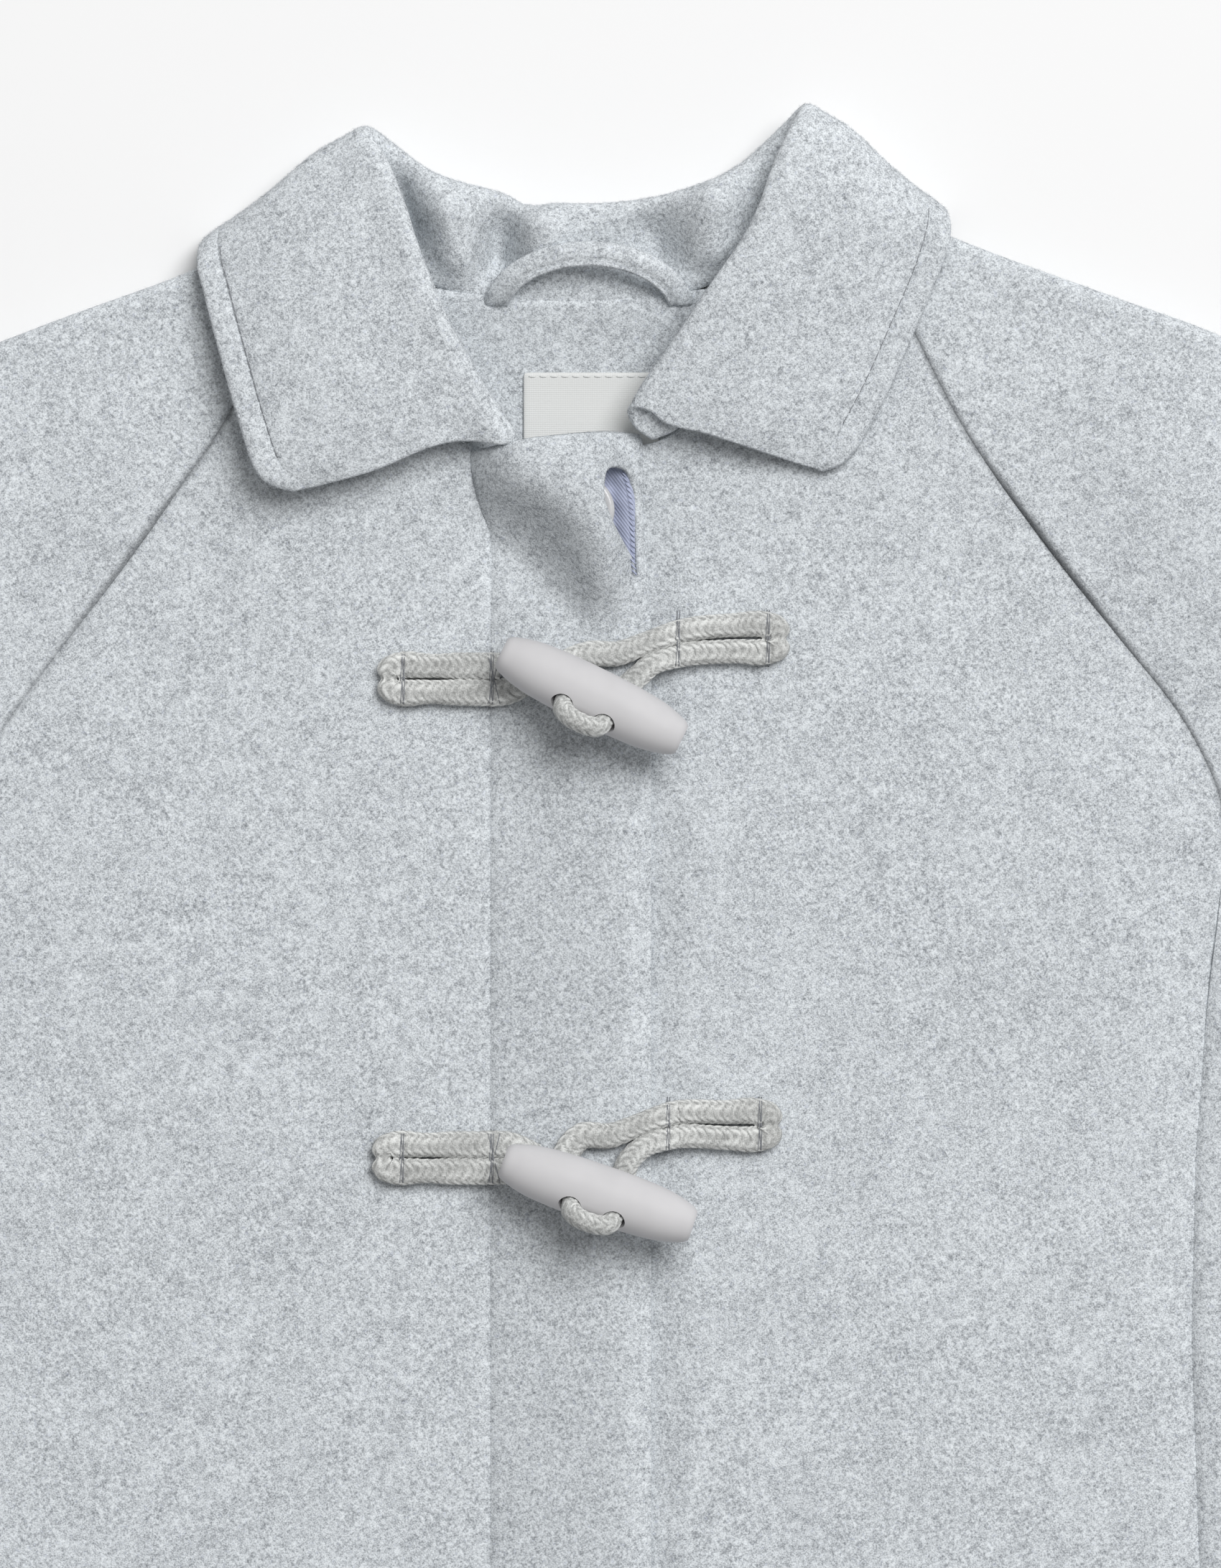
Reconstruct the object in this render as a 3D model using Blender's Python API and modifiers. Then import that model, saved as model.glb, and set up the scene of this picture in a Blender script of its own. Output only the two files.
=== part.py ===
"""A child's short duffle coat, laid flat on its back with the front closed.

The coat lies in the XY plane: +X to the wearer's left, +Y towards the collar, +Z up from the surface.
Sizes are in millimetres in the tables and functions, and become metres when a mesh is made.
"""
import math

import bpy
import numpy as np
from mathutils import Matrix, Vector

MM = 0.001

# Cloth thickness and the gap kept at every seam
WOOL = 2.0
SEAM_GAP = 0.3
LINING_CLOTH = 0.6
LABEL_CLOTH = 0.5
FACING_CLOTH = 1.4

# Heights of the layers above the surface, taken at the underside of each
FRONT_HEIGHT = 5.0
SIDE_SEAM_HEIGHT = WOOL + SEAM_GAP
OVERLAP_RISE = WOOL + SEAM_GAP
COLLAR_RISE = 2.4
RISE_START_Y = 112.0
RISE_END_Y = 157.0
SIDE_ROUNDING = 20.0
OVERLAP_BLEND = 110.0

# Outline of the body
HEM_Y = -239.7
SIDE_DROP_LENGTH = 30.0
BAND_LEFT = -21.8
BAND_LEAN_Y = 127.0
BAND_RIGHT = 20.8
UNDERLAP_LEFT = -14.0

# Half width of the body at its side edge, from the hem to the underarm, as shares of that length
SIDE_EDGE = [
    # share of length, half width
    (0.00, 172.0),
    (0.35, 166.2),
    (0.55, 164.3),
    (0.72, 165.4),
    (0.88, 168.8),
    (1.00, 172.5),
]

# Raglan seams, from the underarm to the neck, x and y
RAGLAN_RIGHT = [(172.5, 39.0), (171.2, 55.0), (162.8, 74.0), (145.3, 97.5), (122.7, 127.0),
                (103.5, 153.0), (90.0, 179.0), (76.0, 208.0)]
RAGLAN_LEFT = [(-172.5, 28.0), (-165.0, 50.5), (-151.4, 72.5), (-127.7, 105.5), (-109.0, 131.0),
               (-88.7, 159.5), (-78.0, 184.0), (-70.0, 203.0)]

# Outer edge of each sleeve, from the neck along the shoulder to the cuff, x and y
SHOULDER_RIGHT = [(68.0, 218.0), (100.0, 203.8), (144.0, 187.5), (172.0, 177.2), (210.0, 153.0),
                  (242.0, 112.0), (262.0, 56.0), (270.0, 0.0), (273.0, -75.0), (271.0, -206.0)]
SHOULDER_LEFT = [(-63.0, 212.5), (-99.5, 195.2), (-139.0, 180.6), (-171.0, 167.4), (-210.0, 142.0),
                 (-242.0, 100.0), (-262.0, 44.0), (-270.0, -8.0), (-273.0, -82.0), (-271.0, -206.0)]
CUFF_Y = -206.0
SLEEVE_TO_BODY = 0.8
SLEEVE_CROWN = 5.0
UNDERARM_CURL = 0.6
SLEEVE_SHIFT = SEAM_GAP + 0.2
CUFF_SLANT = 6.0
ELBOW_RISE = 42.0
ELBOW_OUT = 200.0
NARROW_SLEEVE = 45.0
WIDE_SLEEVE = 110.0
CURL_ROWS = 3.0
CURL_HALF_RISE = 0.3
LEAST_CURL = 0.001
SLEEVE_ROWS_RAGLAN = 14
SLEEVE_ROWS_TUBE = 10
SLEEVE_ACROSS = 6
FOLD_ANGLES = (45.0, 90.0, 135.0)
SHOULDER_POINTS = 200

# Grids of the body panels
SIDE_ROWS = 12
SEAM_ROWS = SLEEVE_ROWS_RAGLAN
BACK_COLUMNS = 11
FRONT_COLUMNS = 9
CURVE_STEPS = 16

# Neck edges, x and y
BACK_NECK_DEPTH = 183.5
BACK_NECK = [(-30.0, 185.0), (0.0, BACK_NECK_DEPTH), (32.0, 186.5)]
LEFT_NECK = [(-50.0, 180.0), (-36.0, 160.0)]
RIGHT_NECK_START = 146.0
RIGHT_NECK = [(8.0, 148.0), (24.0, 151.0), (44.0, 171.0)]
BAND_NECK = [(-26.5, 147.5), (-13.0, 150.5), (0.0, 152.0), (10.0, 153.0), (17.5, 152.5)]

# Fly slit in the band: height and the x of its two lips
SLIT = [
    # y, left lip, right lip
    (143.0, 11.6, 12.4),
    (138.0, 9.4, 14.0),
    (134.0, 8.8, 15.0),
    (127.0, 10.8, 15.4),
    (119.5, 14.2, 16.0),
    (111.0, 16.6, 17.2),
]
FLY_BULGE = 5.2
FLY_CENTRE = (2.0, 132.0)
FLY_SPREAD = 15.0
BUTTON_CENTRE = (0.8, 133.0)
BUTTON_RADIUS = 9.4
BUTTON_THICKNESS = 2.6
BUTTON_SEAT = 0.4
BUTTON_RIM = 0.8
BUTTON_SIDES = 32
FLY_SPAN_X = (11.0, 18.6)
FLY_SPAN_Y = (114.0, 144.0)
FLY_COLUMNS = 4
FLY_ROWS = 9

# Rows and columns of the band, and how its right edge draws in at the top
BAND_TOP_INSET = 3.2
BAND_INSET_START = 95.0
BAND_INSET_END = 135.0
BAND_PLAIN_TOP = 97.0
BAND_PLAIN_ROWS = 16
BAND_BETWEEN = 104.0
BAND_COLUMNS_LEFT = 6

# Collar sections around the neck, from the wearer's right end to the left end.
# Each gives the seam to the coat, the roll at the top and the free edge of the fall.
COLLAR_WALL = 2.0
COLLAR = [
    # seam x, y, z,        roll x, y, z,           fall x, y, z
    (-22.0, 151.0, 13.4, -14.0, 152.5, 18.5, -72.5, 137.0, 11.6),
    (-29.0, 159.0, 13.2, -20.5, 161.0, 20.0, -81.5, 140.5, 11.8),
    (-37.0, 169.0, 12.4, -27.5, 172.5, 22.0, -86.5, 153.0, 12.2),
    (-45.0, 182.0, 11.6, -34.5, 186.0, 23.5, -92.5, 174.0, 12.2),
    (-53.0, 195.0, 11.4, -41.0, 203.0, 23.5, -97.0, 191.0, 11.8),
    (-59.0, 203.5, 11.8, -46.5, 219.5, 21.5, -98.4, 197.0, 11.2),
    (-63.0, 209.0, 8.8, -53.0, 231.8, 16.5, -97.6, 202.8, 6.4),
    (-58.5, 205.0, 5.9, -49.5, 229.6, 13.0, -93.0, 201.0, 1.3),
    (-47.0, 195.5, 6.4, -36.5, 220.3, 13.0, -64.0, 172.0, 1.25),
    (-26.0, 187.6, 6.2, -20.0, 215.6, 13.0, -33.0, 161.5, 1.25),
    (0.0, 185.6, 6.2, 1.0, 212.1, 13.0, 0.0, 159.0, 1.25),
    (27.0, 188.2, 6.2, 22.0, 214.2, 13.0, 34.0, 162.5, 1.25),
    (49.0, 197.5, 6.4, 40.5, 219.8, 13.0, 66.0, 175.0, 1.25),
    (61.5, 208.5, 5.9, 55.5, 232.2, 13.0, 94.5, 208.4, 1.3),
    (67.0, 214.2, 8.8, 60.5, 238.2, 16.5, 98.6, 210.8, 6.4),
    (63.0, 208.0, 11.8, 54.5, 226.5, 21.5, 99.2, 204.8, 11.2),
    (58.0, 198.0, 11.4, 46.5, 206.0, 23.5, 96.5, 195.5, 11.2),
    (48.5, 184.0, 11.6, 35.5, 190.0, 23.5, 90.0, 180.0, 11.0),
    (38.0, 171.0, 12.0, 26.5, 177.0, 22.0, 82.0, 162.0, 10.8),
    (28.5, 159.5, 11.7, 20.5, 168.5, 20.4, 73.0, 146.5, 10.9),
    (22.5, 154.5, 11.5, 16.5, 163.5, 18.8, 65.5, 142.5, 10.6),
]
COLLAR_STATIONS = 46
ROLL_RADIUS = 2.0
ROLL_SPREAD = 1.0
FALL_ARCH = 2.4
FALL_BOW = 3.2
FALL_BOW_SHARE = 0.7
FALL_BENEATH = (1.5, 9.0)
FALL_TURNING = (1.5, 11.0)
STAND_MIDDLE = 0.5
FALL_SECTION = [
    # share of the fall where it lies on top, share where it lies beneath, height left where it lies beneath
    (0.15, 0.030, 0.30),
    (0.40, 0.130, 0.00),
    (0.62, 0.400, 0.00),
    (0.82, 0.700, 0.00),
    (1.00, 1.000, 0.00),
]

# Back neck pieces
FACING_HALF = 52.0
FACING_BOTTOM = 118.0
FACING_TAPER = 0.8
FACING_TOP_CURVE = 0.0022
FACING_BOTTOM_CURVE = 0.006
FACING_COLUMNS = 9
FACING_ROWS = 8
FACING_NECK_GAP = 0.5
LABEL_LEFT = -13.1
LABEL_RIGHT = 23.0
LABEL_TOP = 168.7
LABEL_BOTTOM = 143.0
LABEL_COLUMNS = 4
LABEL_ROWS = 6
LOOP_STRIP = 6.6
LOOP_THICKNESS = 2.6
LOOP_STEPS = 18
LOOP_PATH = [(-21.5, 187.5, 9.5), (-16.5, 194.0, 12.0), (-8.0, 198.2, 13.4), (3.5, 199.6, 14.0),
             (14.5, 198.0, 13.4), (22.0, 194.0, 12.0), (28.0, 188.6, 9.7)]

# Toggles and their cords
CORD_WIDTH = 7.0
CORD_THICKNESS = 4.0
STRAND_PITCH = 7.4
CORD_SIDES = 8
CORD_CLEARANCE = 1.0
TAB_POINTS = 34
TAB_STOP = 16.5
TAB_SEAM_X = -26.0
LOOP_POINTS = 50
NECK_SQUEEZE = 0.33
NECK_LENGTH = 12.0
TOGGLE_HALF = 26.4
TOGGLE_RADIUS = 7.7
TOGGLE_PROFILE = [
    # share of half length, share of radius
    (1.00, 0.00),
    (1.00, 0.50),
    (0.98, 0.58),
    (0.88, 0.73),
    (0.70, 0.88),
    (0.42, 0.97),
    (0.14, 1.00),
]
HOLE_HALF_PITCH = 6.0
HOLE_RADIUS = 3.0
HOLE_LEAN = math.radians(46.0)
HOLDER_RADIUS = 2.4
HOLDER_POINTS = 19
DRILL_DEPTH = 40.0
DRILL_SIDES = 12
TOGGLE_SIDES = 18
MERGE_DISTANCE = 0.05
HOLDER_ARC = [
    # share of the holes' half pitch, distance out from the toggle's axis
    (-0.95, -4.0),
    (-0.95, 1.5),
    (-0.95, 6.8),
    (-0.86, 9.1),
    (-0.52, 10.3),
    (0.00, 10.7),
    (0.52, 10.3),
    (0.86, 9.1),
    (0.95, 6.8),
    (0.95, 1.5),
    (0.95, -4.0),
]
TAB_END = [
    # distance in from the tab's end, share of half the strands' pitch
    (13.0, 1.00),
    (5.5, 1.04),
    (3.5, 0.00),
    (5.5, -1.04),
    (13.0, -1.00),
]
TAB_STARTS = [
    # distance out from where the tab stops, distance in towards the other strand
    (0.0, 3.2),
    (6.5, 0.2),
]
TAB_SHORTER = 7.8
LOOP_END = [
    # distance in from the loop's sewn end, share of half the strands' pitch
    (15.0, -1.0),
    (5.0, -1.0),
    (3.5, 0.0),
    (5.0, 1.0),
    (15.0, 1.0),
]
LOOP_UPPER = [(7.4, 4.9), (-2.6, 1.3), (-8.5, -0.9), (-16.0, -1.1)]
LOOP_UNDER_TOGGLE = [(-9.5, 5.5), (-6.5, -0.5), (4.5, -0.5)]
LOOP_LOWER = [(-3.2, -6.9), (0.4, -3.7), (7.4, -1.5)]
FASTENINGS = [
    # name, toggle x, toggle y, tilt in degrees, tab end x, tab y, longer tab strand (1 upper, -1 lower),
    # loop end x, loop y, neck x, neck y
    ("top", 5.1, 82.9, 26.0, -52.0, 87.4, -1, 58.0, 98.2, 20.5, 95.0),
    ("middle", 6.8, -48.1, 19.0, -53.5, -39.2, 1, 56.0, -30.6, 18.5, -32.4),
    ("lower", 6.4, -176.0, 20.0, -53.0, -167.0, 1, 56.5, -158.6, 18.5, -160.4),
]

# Base colours, linear, and roughness of each material
MATERIALS = {
    "wool": ((0.56, 0.59, 0.61), 0.95),
    "lining_twill": ((0.36, 0.39, 0.49), 0.6),
    "label_weave": ((0.74, 0.75, 0.74), 0.8),
    "braid": ((0.52, 0.53, 0.52), 0.9),
    "toggle_wood": ((0.60, 0.60, 0.61), 0.45),
    "button_pearl": ((0.66, 0.66, 0.68), 0.3),
}


def clear_scene():
    """Remove whatever the scene holds."""
    for item in list(bpy.data.objects):
        bpy.data.objects.remove(item, do_unlink=True)


def make_collection(name):
    """A new collection in the scene."""
    collection = bpy.data.collections.new(name)
    bpy.context.scene.collection.children.link(collection)
    return collection


def make_material(name):
    """A Principled material from the table."""
    colour, roughness = MATERIALS[name]
    material = bpy.data.materials.get(name) or bpy.data.materials.new(name)
    material.use_nodes = True
    shader = material.node_tree.nodes["Principled BSDF"]
    shader.inputs["Base Color"].default_value = (*colour, 1.0)
    shader.inputs["Roughness"].default_value = roughness
    return material


def ramp(value, start, end):
    """Smooth step from 0 at start to 1 at end."""
    share = np.clip((value - start) / (end - start), 0.0, 1.0)
    return share * share * (3.0 - 2.0 * share)


def smooth_curve(points, count):
    """Evenly spaced points on a smooth curve through the given ones."""
    knots = np.array(points, dtype=float)
    chord = np.linalg.norm(np.diff(knots, axis=0), axis=1)
    place = np.concatenate(([0.0], np.cumsum(chord)))
    tangent = np.gradient(knots, place, axis=0)
    dense = []
    for index, length in enumerate(chord):
        for step in np.linspace(0.0, 1.0, CURVE_STEPS, endpoint=False):
            dense.append(hermite(knots, tangent, index, length, step))
    dense.append(knots[-1])
    dense = np.array(dense)
    run = np.concatenate(([0.0], np.cumsum(np.linalg.norm(np.diff(dense, axis=0), axis=1))))
    wanted = np.linspace(0.0, run[-1], count)
    return np.stack([np.interp(wanted, run, dense[:, axis]) for axis in range(knots.shape[1])], axis=1)


def hermite(knots, tangent, index, length, step):
    """One point of a cubic between two knots."""
    square = step * step
    cube = square * step
    return ((2 * cube - 3 * square + 1) * knots[index] + (cube - 2 * square + step) * length * tangent[index]
            + (3 * square - 2 * cube) * knots[index + 1] + (cube - square) * length * tangent[index + 1])


def collar_lift(y):
    """Rise of the layers over the part of the collar that lies under the shoulders."""
    return COLLAR_RISE * ramp(y, RISE_START_Y, RISE_END_Y)


def fly_bulge(x, y):
    """Bulge of the cloth over the button behind the fly."""
    square = (x - FLY_CENTRE[0]) ** 2 + (y - FLY_CENTRE[1]) ** 2
    return FLY_BULGE * math.exp(-square / (2.0 * FLY_SPREAD ** 2))


def side_half(share):
    """Half width of the body at a share of the way from hem to underarm."""
    return np.interp(share, [row[0] for row in SIDE_EDGE], [row[1] for row in SIDE_EDGE])


def back_height(x, y):
    """Underside of the back, flat on the surface."""
    return collar_lift(y)


def front_height(x, y):
    """Underside of the fronts: level inside, rounding down to the side seams."""
    underarm_y = RAGLAN_RIGHT[0][1] if x > 0 else RAGLAN_LEFT[0][1]
    share = (y - HEM_Y) / (underarm_y - HEM_Y)
    inset = side_half(min(share, 1.0)) - abs(x)
    rounding = math.sqrt(1.0 - (1.0 - min(max(inset / SIDE_ROUNDING, 0.0), 1.0)) ** 2)
    fade = 1.0 - ramp(y, underarm_y - SIDE_DROP_LENGTH, underarm_y)
    drop = (FRONT_HEIGHT - SIDE_SEAM_HEIGHT) * (1.0 - rounding) * fade
    return FRONT_HEIGHT - drop + collar_lift(y)


def overlap_height(x, y):
    """Underside of the overlapping front and its band."""
    rise = OVERLAP_RISE * ramp(x, BAND_LEFT - OVERLAP_BLEND, BAND_LEFT)
    return front_height(x, y) + rise + fly_bulge(x, y)


def coat_top(x, y):
    """Top of the cloth that a fastening lies on."""
    if x < BAND_RIGHT:
        return overlap_height(x, y) + WOOL
    return front_height(x, y) + WOOL


def side_edge(sign, underarm_y, count):
    """Side edge of the body from the hem to the underarm."""
    shares = np.linspace(0.0, 1.0, count)
    return np.array([(sign * side_half(share), HEM_Y + share * (underarm_y - HEM_Y)) for share in shares])


def body_edge(sign, raglan, side_count, raglan_count):
    """Side edge and raglan seam in one run from the hem to the neck."""
    side = side_edge(sign, raglan[0][1], side_count)
    seam = smooth_curve(raglan, raglan_count)
    return np.concatenate((side, seam[1:]))


def coons(left, right, bottom, top):
    """Grid of plan points that fills four edges."""
    rows = len(left)
    columns = len(bottom)
    grid = np.zeros((rows, columns, 2))
    for row, v in enumerate(np.linspace(0.0, 1.0, rows)):
        for column, u in enumerate(np.linspace(0.0, 1.0, columns)):
            ruled = (1 - u) * left[row] + u * right[row] + (1 - v) * bottom[column] + v * top[column]
            corners = ((1 - u) * (1 - v) * left[0] + u * (1 - v) * right[0]
                       + (1 - u) * v * left[-1] + u * v * right[-1])
            grid[row, column] = ruled - corners
    return grid


def raised(grid, height):
    """Plan grid given its height above the surface."""
    return [[(x, y, height(x, y)) for x, y in row] for row in grid]


def add_mesh(name, vertices, faces, collection, material):
    """Mesh object from points in millimetres."""
    mesh = bpy.data.meshes.new(name)
    mesh.from_pydata([tuple(MM * value for value in point) for point in vertices], [], faces)
    mesh.update()
    mesh.shade_smooth()
    item = bpy.data.objects.new(name, mesh)
    collection.objects.link(item)
    mesh.materials.append(make_material(material))
    return item


def sheet(name, grid, thickness, offset, collection, material, open_cells=()):
    """Cloth wall: a grid of points with Solidify, less the cells left open."""
    columns = len(grid[0])
    vertices = [point for row in grid for point in row]
    faces = []
    for row in range(len(grid) - 1):
        for column in range(columns - 1):
            if (row, column) not in open_cells:
                first = row * columns + column
                faces.append((first, first + 1, first + columns + 1, first + columns))
    item = add_mesh(name, vertices, faces, collection, material)
    solidify = item.modifiers.new("wall", "SOLIDIFY")
    solidify.thickness = thickness * MM
    solidify.offset = offset
    return item


def build_back(collection):
    """Back panel, flat on the surface."""
    left = body_edge(-1, RAGLAN_LEFT, SIDE_ROWS, SEAM_ROWS)
    right = body_edge(1, RAGLAN_RIGHT, SIDE_ROWS, SEAM_ROWS)
    bottom = np.linspace(left[0], right[0], BACK_COLUMNS)
    top = smooth_curve([left[-1], *BACK_NECK, right[-1]], BACK_COLUMNS)
    sheet("back", raised(coons(left, right, bottom, top), back_height), WOOL, 1.0, collection, "wool")


def build_front_left(collection):
    """Left front, without its band."""
    rows = SIDE_ROWS + SEAM_ROWS - 1
    outer = body_edge(-1, RAGLAN_LEFT, SIDE_ROWS, SEAM_ROWS)
    straight = np.linspace(HEM_Y, BAND_LEAN_Y, rows - 2)
    leaning = np.linspace(BAND_LEAN_Y, BAND_NECK[0][1], 3)[1:]
    inner = np.array([(band_left_edge(y) - SEAM_GAP, y) for y in (*straight, *leaning)])
    neck = smooth_curve([outer[-1], *LEFT_NECK, inner[-1]], FRONT_COLUMNS)
    plan = coons(outer, inner, np.linspace(outer[0], inner[0], FRONT_COLUMNS), neck)
    sheet("front_left", raised(plan, overlap_height), WOOL, 1.0, collection, "wool")


def build_front_right(collection):
    """Right front, which runs on under the band."""
    rows = SIDE_ROWS + SEAM_ROWS - 1
    outer = body_edge(1, RAGLAN_RIGHT, SIDE_ROWS, SEAM_ROWS)
    inner = np.linspace((UNDERLAP_LEFT, HEM_Y), (UNDERLAP_LEFT, RIGHT_NECK_START), rows)
    neck = smooth_curve([inner[-1], *RIGHT_NECK, outer[-1]], FRONT_COLUMNS)
    plan = coons(inner, outer, np.linspace(inner[0], outer[0], FRONT_COLUMNS), neck)
    sheet("front_right", raised(plan, front_height), WOOL, 1.0, collection, "wool")


def band_left_edge(y):
    """Left edge of the band, leaning out near the neck."""
    return np.interp(y, [BAND_LEAN_Y, BAND_NECK[0][1]], [BAND_LEFT, BAND_NECK[0][0]])


def band_rows():
    """Heights of the band's sections, closer together along the fly slit."""
    below = list(np.linspace(HEM_Y, BAND_PLAIN_TOP, BAND_PLAIN_ROWS))
    return below + [BAND_BETWEEN] + sorted(row[0] for row in SLIT)


def build_band(collection):
    """Placket band with the fly slit through it."""
    slit_y = [row[0] for row in reversed(SLIT)]
    left_lip = [row[1] for row in reversed(SLIT)]
    right_lip = [row[2] for row in reversed(SLIT)]
    grid = []
    rows = band_rows()
    for y in rows:
        left = band_left_edge(y)
        right = BAND_RIGHT - BAND_TOP_INSET * ramp(y, BAND_INSET_START, BAND_INSET_END)
        first = np.interp(y, slit_y, left_lip)
        second = np.interp(y, slit_y, right_lip)
        across = list(np.linspace(left, first, BAND_COLUMNS_LEFT)) + [second, right]
        grid.append([(x, y, overlap_height(x, y)) for x in across])
    neck = []
    for x, _, _ in grid[-1]:
        y = np.interp(x, [point[0] for point in BAND_NECK], [point[1] for point in BAND_NECK])
        neck.append((x, y, overlap_height(x, y)))
    grid.append(neck)
    first_open = rows.index(SLIT[-1][0])
    last_open = rows.index(SLIT[0][0])
    slit_cells = {(row, BAND_COLUMNS_LEFT - 1) for row in range(first_open, last_open)}
    sheet("front_band", grid, WOOL, 1.0, collection, "wool", slit_cells)


def build_fly(collection):
    """Lining and button that show in the fly slit."""
    plan = [[(x, y) for x in np.linspace(*FLY_SPAN_X, FLY_COLUMNS)]
            for y in np.linspace(*FLY_SPAN_Y, FLY_ROWS)]
    lining = raised(plan, lambda x, y: front_height(x, y) + WOOL + SEAM_GAP)
    sheet("fly_lining", lining, LINING_CLOTH, 1.0, collection, "lining_twill")
    seat = front_height(*BUTTON_CENTRE) + WOOL + SEAM_GAP + BUTTON_SEAT
    bpy.ops.mesh.primitive_cylinder_add(
        vertices=BUTTON_SIDES, radius=BUTTON_RADIUS * MM, depth=BUTTON_THICKNESS * MM,
        location=(BUTTON_CENTRE[0] * MM, BUTTON_CENTRE[1] * MM, (seat + BUTTON_THICKNESS / 2) * MM))
    button = bpy.context.object
    button.name = "fly_button"
    button.data.materials.append(make_material("button_pearl"))
    bevel = button.modifiers.new("rim", "BEVEL")
    bevel.width = BUTTON_RIM * MM
    bevel.segments = 2
    move_to(button, collection)


def move_to(item, collection):
    """Put an object in one collection only."""
    for holder in list(item.users_collection):
        holder.objects.unlink(item)
    collection.objects.link(item)


def sleeve_section(inner, outer, under, over, crown, curl):
    """Middle line of one sleeve section, from the back layer round the outer fold to the front layer."""
    span = np.linalg.norm(outer - inner)
    fold = (over - under) / 2.0
    end_run = fold * math.pi / 2.0
    bend = max(curl, LEAST_CURL) * math.pi / 2.0
    reach = end_run * math.sin(bend) / bend
    rise = end_run * (1.0 - math.cos(bend)) / bend
    half_way = reach * (1.0 - math.sin(bend / 2) / math.sin(bend))
    start = [(0.0, under + rise), (half_way, under + rise * CURL_HALF_RISE)]
    profile = start + [(place, under) for place in np.linspace(reach, span - fold, SLEEVE_ACROSS)]
    for angle in FOLD_ANGLES:
        turn = math.radians(angle)
        profile.append((span - fold + fold * math.sin(turn), under + fold - fold * math.cos(turn)))
    for place in np.linspace(span - fold, reach, SLEEVE_ACROSS):
        share = (place - reach) / (span - fold - reach)
        profile.append((place, over + crown * math.sin(math.pi * share)))
    profile += [(along, under + over - height) for along, height in reversed(start)]
    axis = (outer - inner) / span
    return [(*(inner + axis * along), height) for along, height in profile]


def sleeve_inner(sign, raglan):
    """Inner edge of a sleeve: down the raglan seam, then beside the body to the cuff."""
    seam = smooth_curve(raglan[::-1], SLEEVE_ROWS_RAGLAN)
    underarm_y = seam[-1][1]
    tube = []
    for y in np.linspace(underarm_y, CUFF_Y + CUFF_SLANT, SLEEVE_ROWS_TUBE + 1)[1:]:
        half = side_half((y - HEM_Y) / (underarm_y - HEM_Y))
        tube.append((sign * (half + SLEEVE_TO_BODY + WOOL / 2), y))
    return np.concatenate((seam + np.array((sign * SLEEVE_SHIFT, SLEEVE_SHIFT)), tube))


def sleeve_outer(shoulder, underarm_y):
    """Outer edge of a sleeve, with as many points above and below the elbow as its inner edge has."""
    line = smooth_curve(shoulder, SHOULDER_POINTS)
    beyond = np.abs(line[:, 0]) > ELBOW_OUT
    above = line[:, 1] > underarm_y + ELBOW_RISE
    turn = int(np.flatnonzero(beyond & ~above)[0])
    upper = smooth_curve(line[:turn + 1], SLEEVE_ROWS_RAGLAN)
    lower = smooth_curve(line[turn:], SLEEVE_ROWS_TUBE + 1)[1:]
    return np.concatenate((upper, lower))


def build_sleeve(name, sign, raglan, shoulder, collection):
    """Raglan sleeve: a flattened tube that opens into the armhole seam above the underarm."""
    sections = []
    edges = zip(sleeve_inner(sign, raglan), sleeve_outer(shoulder, raglan[0][1]))
    for index, (start, end) in enumerate(edges):
        down = index - (SLEEVE_ROWS_RAGLAN - 1)
        under = collar_lift((start[1] + end[1]) / 2.0) + WOOL / 2
        curl = UNDERARM_CURL * min(max(down, 0) / CURL_ROWS, 1.0)
        crown = SLEEVE_CROWN * ramp(np.linalg.norm(end - start), NARROW_SLEEVE, WIDE_SLEEVE)
        sections.append(sleeve_section(start, end, under, under + FRONT_HEIGHT, crown, curl))
    if sign < 0:
        sections = sections[::-1]
    sheet(name, sections, WOOL, 0.0, collection, "wool")


def unit(vector):
    """The vector at length 1."""
    return vector / np.linalg.norm(vector)


def collar_section(seam, roll, fall):
    """Middle line of one collar section: up the stand, over the roll and out along the fall."""
    under = 1.0 - ramp(fall[2], *FALL_BENEATH)
    turning = math.sin(math.pi * ramp(fall[2], *FALL_TURNING))
    drop = roll[2] - fall[2]
    outward = []
    for over_share, under_share, under_height in FALL_SECTION:
        share = over_share + (under_share - over_share) * under
        place = roll + (fall - roll) * share
        place[1] += FALL_BOW * turning * math.sin(math.pi * min(over_share / FALL_BOW_SHARE, 1.0))
        over_height = fall[2] + drop * (1.0 - over_share) + FALL_ARCH * math.sin(math.pi * over_share)
        place[2] = over_height + (fall[2] + drop * under_height - over_height) * under
        outward.append(place)
    to_seam = unit(seam - roll)
    to_fall = unit(outward[0] - roll)
    apart = unit(to_seam - to_fall) * ROLL_SPREAD
    stand_side = roll + to_seam * ROLL_RADIUS + apart
    fall_side = roll + to_fall * ROLL_RADIUS - apart
    return [seam, seam + (stand_side - seam) * STAND_MIDDLE, stand_side, roll, fall_side] + outward


def build_collar(collection):
    """Turned-down collar, one folded ribbon around the neck."""
    rows = np.array(COLLAR, dtype=float)
    tangent = np.gradient(rows, axis=0)
    last = len(rows) - 1
    grid = []
    for place in np.linspace(0.0, last, COLLAR_STATIONS):
        first = min(int(place), last - 1)
        row = hermite(rows, tangent, first, 1.0, place - first)
        grid.append(collar_section(row[0:3], row[3:6], row[6:9]))
    sheet("collar", grid, COLLAR_WALL, 0.0, collection, "wool")


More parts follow.
